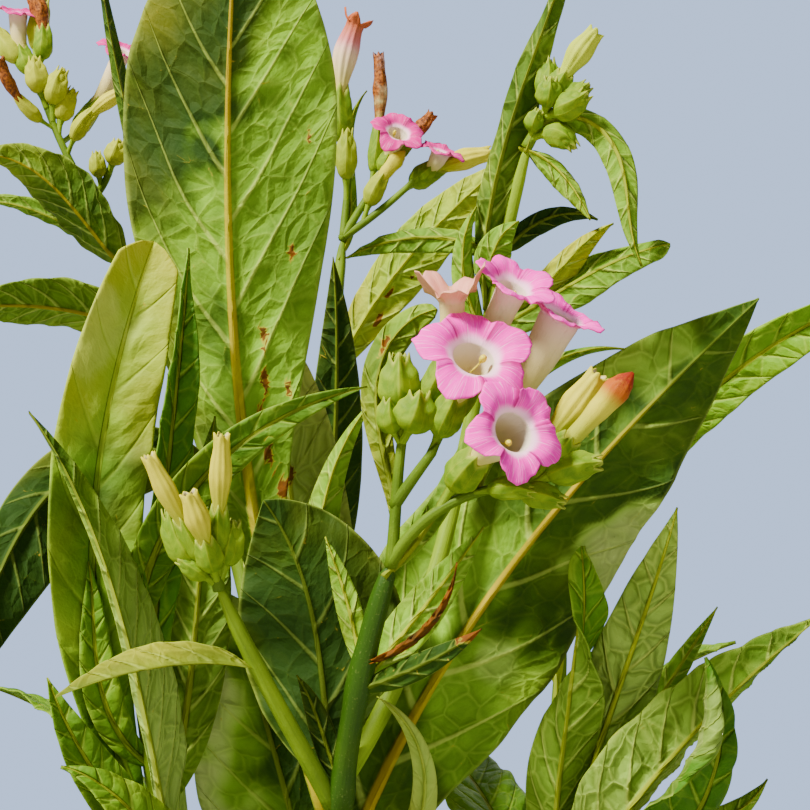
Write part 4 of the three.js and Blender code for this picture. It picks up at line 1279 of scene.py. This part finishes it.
def calyx_finish():
    finish = Finish("calyx_green", 0.15)
    blade, _, _, _ = finish.attribute("blade")
    _, u, lobe, pale = finish.attribute("cup")
    rib = abs(abs(lobe) - 0.5).above(0.32, 0.5)
    patch = finish.noise(blade, 260.0)
    speck = finish.noise(blade, 2600.0, detail=2.0)
    colour = finish.layered(
        finish.blend(patch.above(0.3, 0.7), "3C6C00", "6C8E00"),
        (u.above(0.55, 1.0) * 0.55, "3E6E00"),
        (rib * 0.3, "98A41A"),
        (speck.above(0.6, 0.75) * 0.15, "BCC450"),
        (u.above(0.86, 1.0) * 0.6, "B4BC48"),
        (pale * 0.85, finish.blend(patch, "9CA010", "C4C23C")))
    relief = rib * 0.25 + speck * 0.25 + patch * 0.5
    return finish.finish(colour, 0.5 + patch * 0.2, relief, depth=0.0004, strength=0.7)


def petal_finish(name, back):
    """The corolla: a cream tube that turns pink at the limb, paler round the throat, where its grey is
    painted shade, and dark in its creases, partly its own deeper pink and partly painted shade.
    """
    finish = Finish(name, 0.2)
    place = finish.objects_place()
    petal, u, lobe, strength = finish.attribute("petal")
    _, wither, red_tip, green = finish.attribute("flush")
    outward = u.above(0.61, 0.72)
    streak = finish.noise(place, 900.0, roughness=0.6)
    cloud = finish.noise(place, 160.0)
    fan = finish.noise(finish.vector_math("MULTIPLY", petal, (1.5, 9.0, 1.0)), 2.0, roughness=0.6)
    tube = finish.layered(
        finish.blend(u.above(0.2, 0.6), "CCC060", "F0D8C0"),
        (u.above(0.4, 0.62) * 0.4, "E890BC"))
    face = finish.layered(
        finish.blend(outward, "FFCCEA", "FF1CC0"),
        ((strength - 0.85).most(0.0) * 5.5 * outward, "C80074"),
        (fan.above(0.45, 0.75) * 0.25 * outward, "D80098"),
        (fan.below(0.3, 0.46) * 0.4, "FBDCF0"),
        # Dark magenta at the notches: partly the corolla's own deeper pink and partly painted shade in the
        # folds
        ((abs(lobe).above(0.72, 0.97) * outward.above(0.2, 0.9)) * 0.8, "980058"),
        (0.4 if back else 0.0, "D86090"))
    # The throat's greyish beige is its pale colour with painted shade from the deep tube
    throat = u.above(0.35, 0.5) * u.below(0.57, 0.61)
    colour = finish.layered(
        finish.blend(u.above(0.56, 0.66), tube, face),
        ((1 - strength).above(0.15, 1.0), finish.blend(cloud, "B0AA14", "DCD238")),
        (throat * (0.0 if back else 0.85), "D6CCB4"),
        ((1 - strength) * u.below(0.14, 0.36) * 0.7, "8FA01C"),
        (red_tip.above(0.1, 0.6), "AC5400"),
        ((red_tip + (streak - 0.5) * 0.7).above(0.72, 0.95), "8C2406"),
        (green * 0.8, "A9BC2C"),
        ((wither + (cloud - 0.5) * 0.7).above(0.35, 0.6),
         finish.blend(streak.above(0.3, 0.7), "4E2208", "A8601C")))
    relief = streak * 0.25 + fan * 0.6 + cloud * 0.4
    return finish.finish(colour, 0.5 + cloud * 0.15, relief, depth=0.0004, strength=0.6)


def stigma_finish():
    finish = Finish("stigma_yellow", 0.5)
    grit = finish.noise(finish.objects_place(), 2200.0)
    colour = finish.blend(grit.above(0.35, 0.7), "C8B400", "E4D424")
    return finish.finish(colour, 0.4 + grit * 0.2, grit, depth=0.0003, strength=0.7)


UPPER_SIDE = leaf_finish("leaf_upper_side", True)
UNDERSIDE = leaf_finish("leaf_underside", False)
STEM_GREEN = stem_finish()
STALK_RIND = stalk_finish()
CALYX_GREEN = calyx_finish()
PETAL = petal_finish("petal_face", False)
PETAL_BACK = petal_finish("petal_back", True)
STIGMA_YELLOW = stigma_finish()


# The plant, put together

# How a bloom of each kind is made, with its parts' shares of its line: where the pedicel ends, where the
# calyx starts and ends, and where what stands in the calyx does
KINDS = {
    "calyx": {
        "pedicel": 0.34, "calyx": (0.3, 1.0), "maker": capsule, "shares": (0.4, 0.98), "piece": "calyxes",
    },
    "bud": {"pedicel": 0.26, "calyx": (0.22, 0.66), "maker": bud, "shares": (0.3, 1.0), "piece": "buds"},
    "tube": {
        "pedicel": 0.2, "calyx": (0.17, 0.55), "maker": narrow_corolla, "shares": (0.3, 1.0),
        "piece": "narrow_corollas",
    },
    "open": {
        "pedicel": 0.22, "calyx": (0.19, 0.6), "maker": corolla, "shares": (0.32, 1.0),
        "piece": "open_corollas",
    },
}
TOP_AGE = 0.25
MORE_AGE = 0.4  # of the stalk's lowest leaf
FLOWER_PIECES = ["twigs", "calyxes", "open_corollas", "narrow_corollas", "buds", "stigmas"]
HEADS = sorted({twig["head"] for twig in TWIGS.values()})
HIDDEN_TWIGS = ["hidden_right", "hidden_left"]
HIDDEN_KINDS = ["calyx", "open", "bud", "calyx", "open", "calyx", "bud"]

stems = {"stalk": Line(STALK, np.zeros(3))}
seeds = iter(range(1, 1000))


def add(piece, nodes):
    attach(piece, "root")
    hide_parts(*nodes)


def grow(row, stem, clear):
    """The line of a row that starts on a stem."""
    return Line(row, start_of(row, stems[stem], clear))


def add_shoots():
    skins = []
    for name, row in SHOOTS.items():
        stems[name] = grow(row, row["on"], True)
        leaflets = LEAFLETS.get(name, [])
        if name in SHOOT_RANKS:
            leaflets = leaflets + rank_leaves(SHOOT_RANKS[name])
        joints = [leaf["at"] for leaf in [*leaflets, *LEAVES.get(name, {}).values()]]
        skin = {**row, "joints": joints, "taper": SHOOT_TAPER, "slim": SHOOT_SLIM}
        skins.append(stem_piece("stem", stems[name], skin, next(seeds), STEM_GREEN))
        if leaflets:
            grown = [leaf_piece("leaflet", grow(row, name, False), row, next(seeds)) for row in leaflets]
            add(joined(grown, "leaflets_" + name), [name])
    add(joined(skins, "stem_skins"), list(SHOOTS))


def hidden_blooms():
    """The blooms of a head that the photo does not show, from the lowest up."""
    last = len(HIDDEN_KINDS) - 1
    return [
        bloom_row(kind, float(along([0.3, 1], i / last)), [30, 62], 0, 36, 4.2, limb=13, turn=SPIRAL * i)
        for i, kind in enumerate(HIDDEN_KINDS)]


def add_flowers():
    for name, row in TWIGS.items():
        stems[name] = grow(row, row["on"], row["on"] in SHOOTS)
    parts = {name: [] for name in FLOWER_PIECES}
    blooms = {**BLOOMS, **{twig: hidden_blooms() for twig in HIDDEN_TWIGS}}
    for twig, rows in blooms.items():
        parts["twigs"].append(stem_piece("twig", stems[twig], TWIGS[twig], next(seeds), STEM_GREEN, sides=12))
        for row in rows:
            row = {**row, "seed": next(seeds)}
            line = grow(row, twig, False)
            kind = KINDS[row["kind"]]
            low, high = kind["calyx"]
            parts["twigs"].append(pedicel(line, row, kind["pedicel"]))
            parts["calyxes"].append(calyx(line, row, low, row.get("sepal", high), row["kind"] != "calyx"))
            parts[kind["piece"]].append(kind["maker"](line, row, *kind["shares"]))
            if row["kind"] == "open":
                parts["stigmas"].append(stigma(line, row))
    for name in FLOWER_PIECES:
        add(joined(parts[name], name), HEADS)


def add_leaves():
    for stem, rows in LEAVES.items():
        for name, row in rows.items():
            piece = leaf_piece(name.replace("leaf_", "blade_"), grow(row, stem, True), row, next(seeds))
            add(piece, [name])
    low_leaves = rank_leaves(STALK_RANK)
    for i, row in enumerate(low_leaves):
        row["age"] = TOP_AGE + MORE_AGE * (1 - i / (len(low_leaves) - 1))
        piece = leaf_piece(f"blade_low_{i + 1:02d}", grow(row, "stalk", True), row, next(seeds))
        add(piece, [f"leaf_low_{i + 1:02d}"])


add(stem_piece("stalk_skin", stems["stalk"], STALK, 1, STALK_RIND, flare=FLARE, sides=36), ["stalk"])
add_shoots()
add_flowers()
add_leaves()
for shape in SHAPES.values():
    bpy.data.objects.remove(shape)


# Camera, floor and light

CAMERA = {"place": (0.02, -0.6, 1.05), "lens": 70, "sensor": 36, "pitch": 12, "nearest": 0.01}
FLOOR_RADIUS = 12
FLOOR_HEIGHT = -0.0005
LIGHTS = {
    "key": {"place": (-1.55, -1.65, 3.05), "size": 0.45, "power": 300, "colour": (1.0, 0.96, 0.86)},
    "fill": {"place": (1.6, -2.4, 1.5), "size": 2.4, "power": 20, "colour": (0.97, 0.98, 1.0)},
    "rim": {"place": (0.8, 2.4, 2.6), "size": 1.8, "power": 30, "colour": (1.0, 0.98, 0.94)},
}
AIM = Vector((0.0, 0.05, 1.05))
WORLD = {"light": ((1.0, 0.98, 0.93, 1), 0.25), "backdrop": ((0.5, 0.67, 1.0, 1), 1.3)}

camera_data = bpy.data.cameras.new("camera")
camera_data.lens = CAMERA["lens"]
camera_data.sensor_width = CAMERA["sensor"]
camera_data.clip_start = CAMERA["nearest"]
camera = bpy.data.objects.new("camera", camera_data)
camera.location = CAMERA["place"]
camera.rotation_euler = (math.radians(90 + CAMERA["pitch"]), 0, 0)
bpy.context.collection.objects.link(camera)
bpy.context.scene.camera = camera

clear_selection()
bpy.ops.mesh.primitive_circle_add(
    vertices=96, radius=FLOOR_RADIUS, fill_type="NGON", location=(0, 0, FLOOR_HEIGHT))
floor = bpy.context.object
floor.name = "floor"
floor_finish = Finish("floor_paper", 0.5)
paper = floor_finish.noise(floor_finish.objects_place(), 3.0, detail=4.0)
floor.data.materials.append(floor_finish.finish(
    floor_finish.blend(paper, "DDDAD2", "E6E3DC"), 0.7 + paper * 0.1, paper, depth=0.001, strength=0.2))

for name, light in LIGHTS.items():
    lamp = bpy.data.lights.new(name, "AREA")
    lamp.energy = light["power"]
    lamp.size = light["size"]
    lamp.color = light["colour"]
    holder = bpy.data.objects.new(name, lamp)
    holder.location = light["place"]
    holder.rotation_euler = (AIM - holder.location).to_track_quat("-Z", "Y").to_euler()
    bpy.context.collection.objects.link(holder)

# The camera sees the backdrop, and the plant is lit by the softer light
world = bpy.data.worlds.new("studio")
world.use_nodes = True
nodes = world.node_tree.nodes
links = world.node_tree.links
for name, (colour, strength) in WORLD.items():
    nodes.new("ShaderNodeBackground").name = name
    nodes[name].inputs["Color"].default_value = colour
    nodes[name].inputs["Strength"].default_value = strength
mix = nodes.new("ShaderNodeMixShader")
links.new(nodes.new("ShaderNodeLightPath").outputs["Is Camera Ray"], mix.inputs[0])
links.new(nodes["light"].outputs[0], mix.inputs[1])
links.new(nodes["backdrop"].outputs[0], mix.inputs[2])
links.new(mix.outputs[0], nodes["World Output"].inputs["Surface"])
bpy.context.scene.world = world
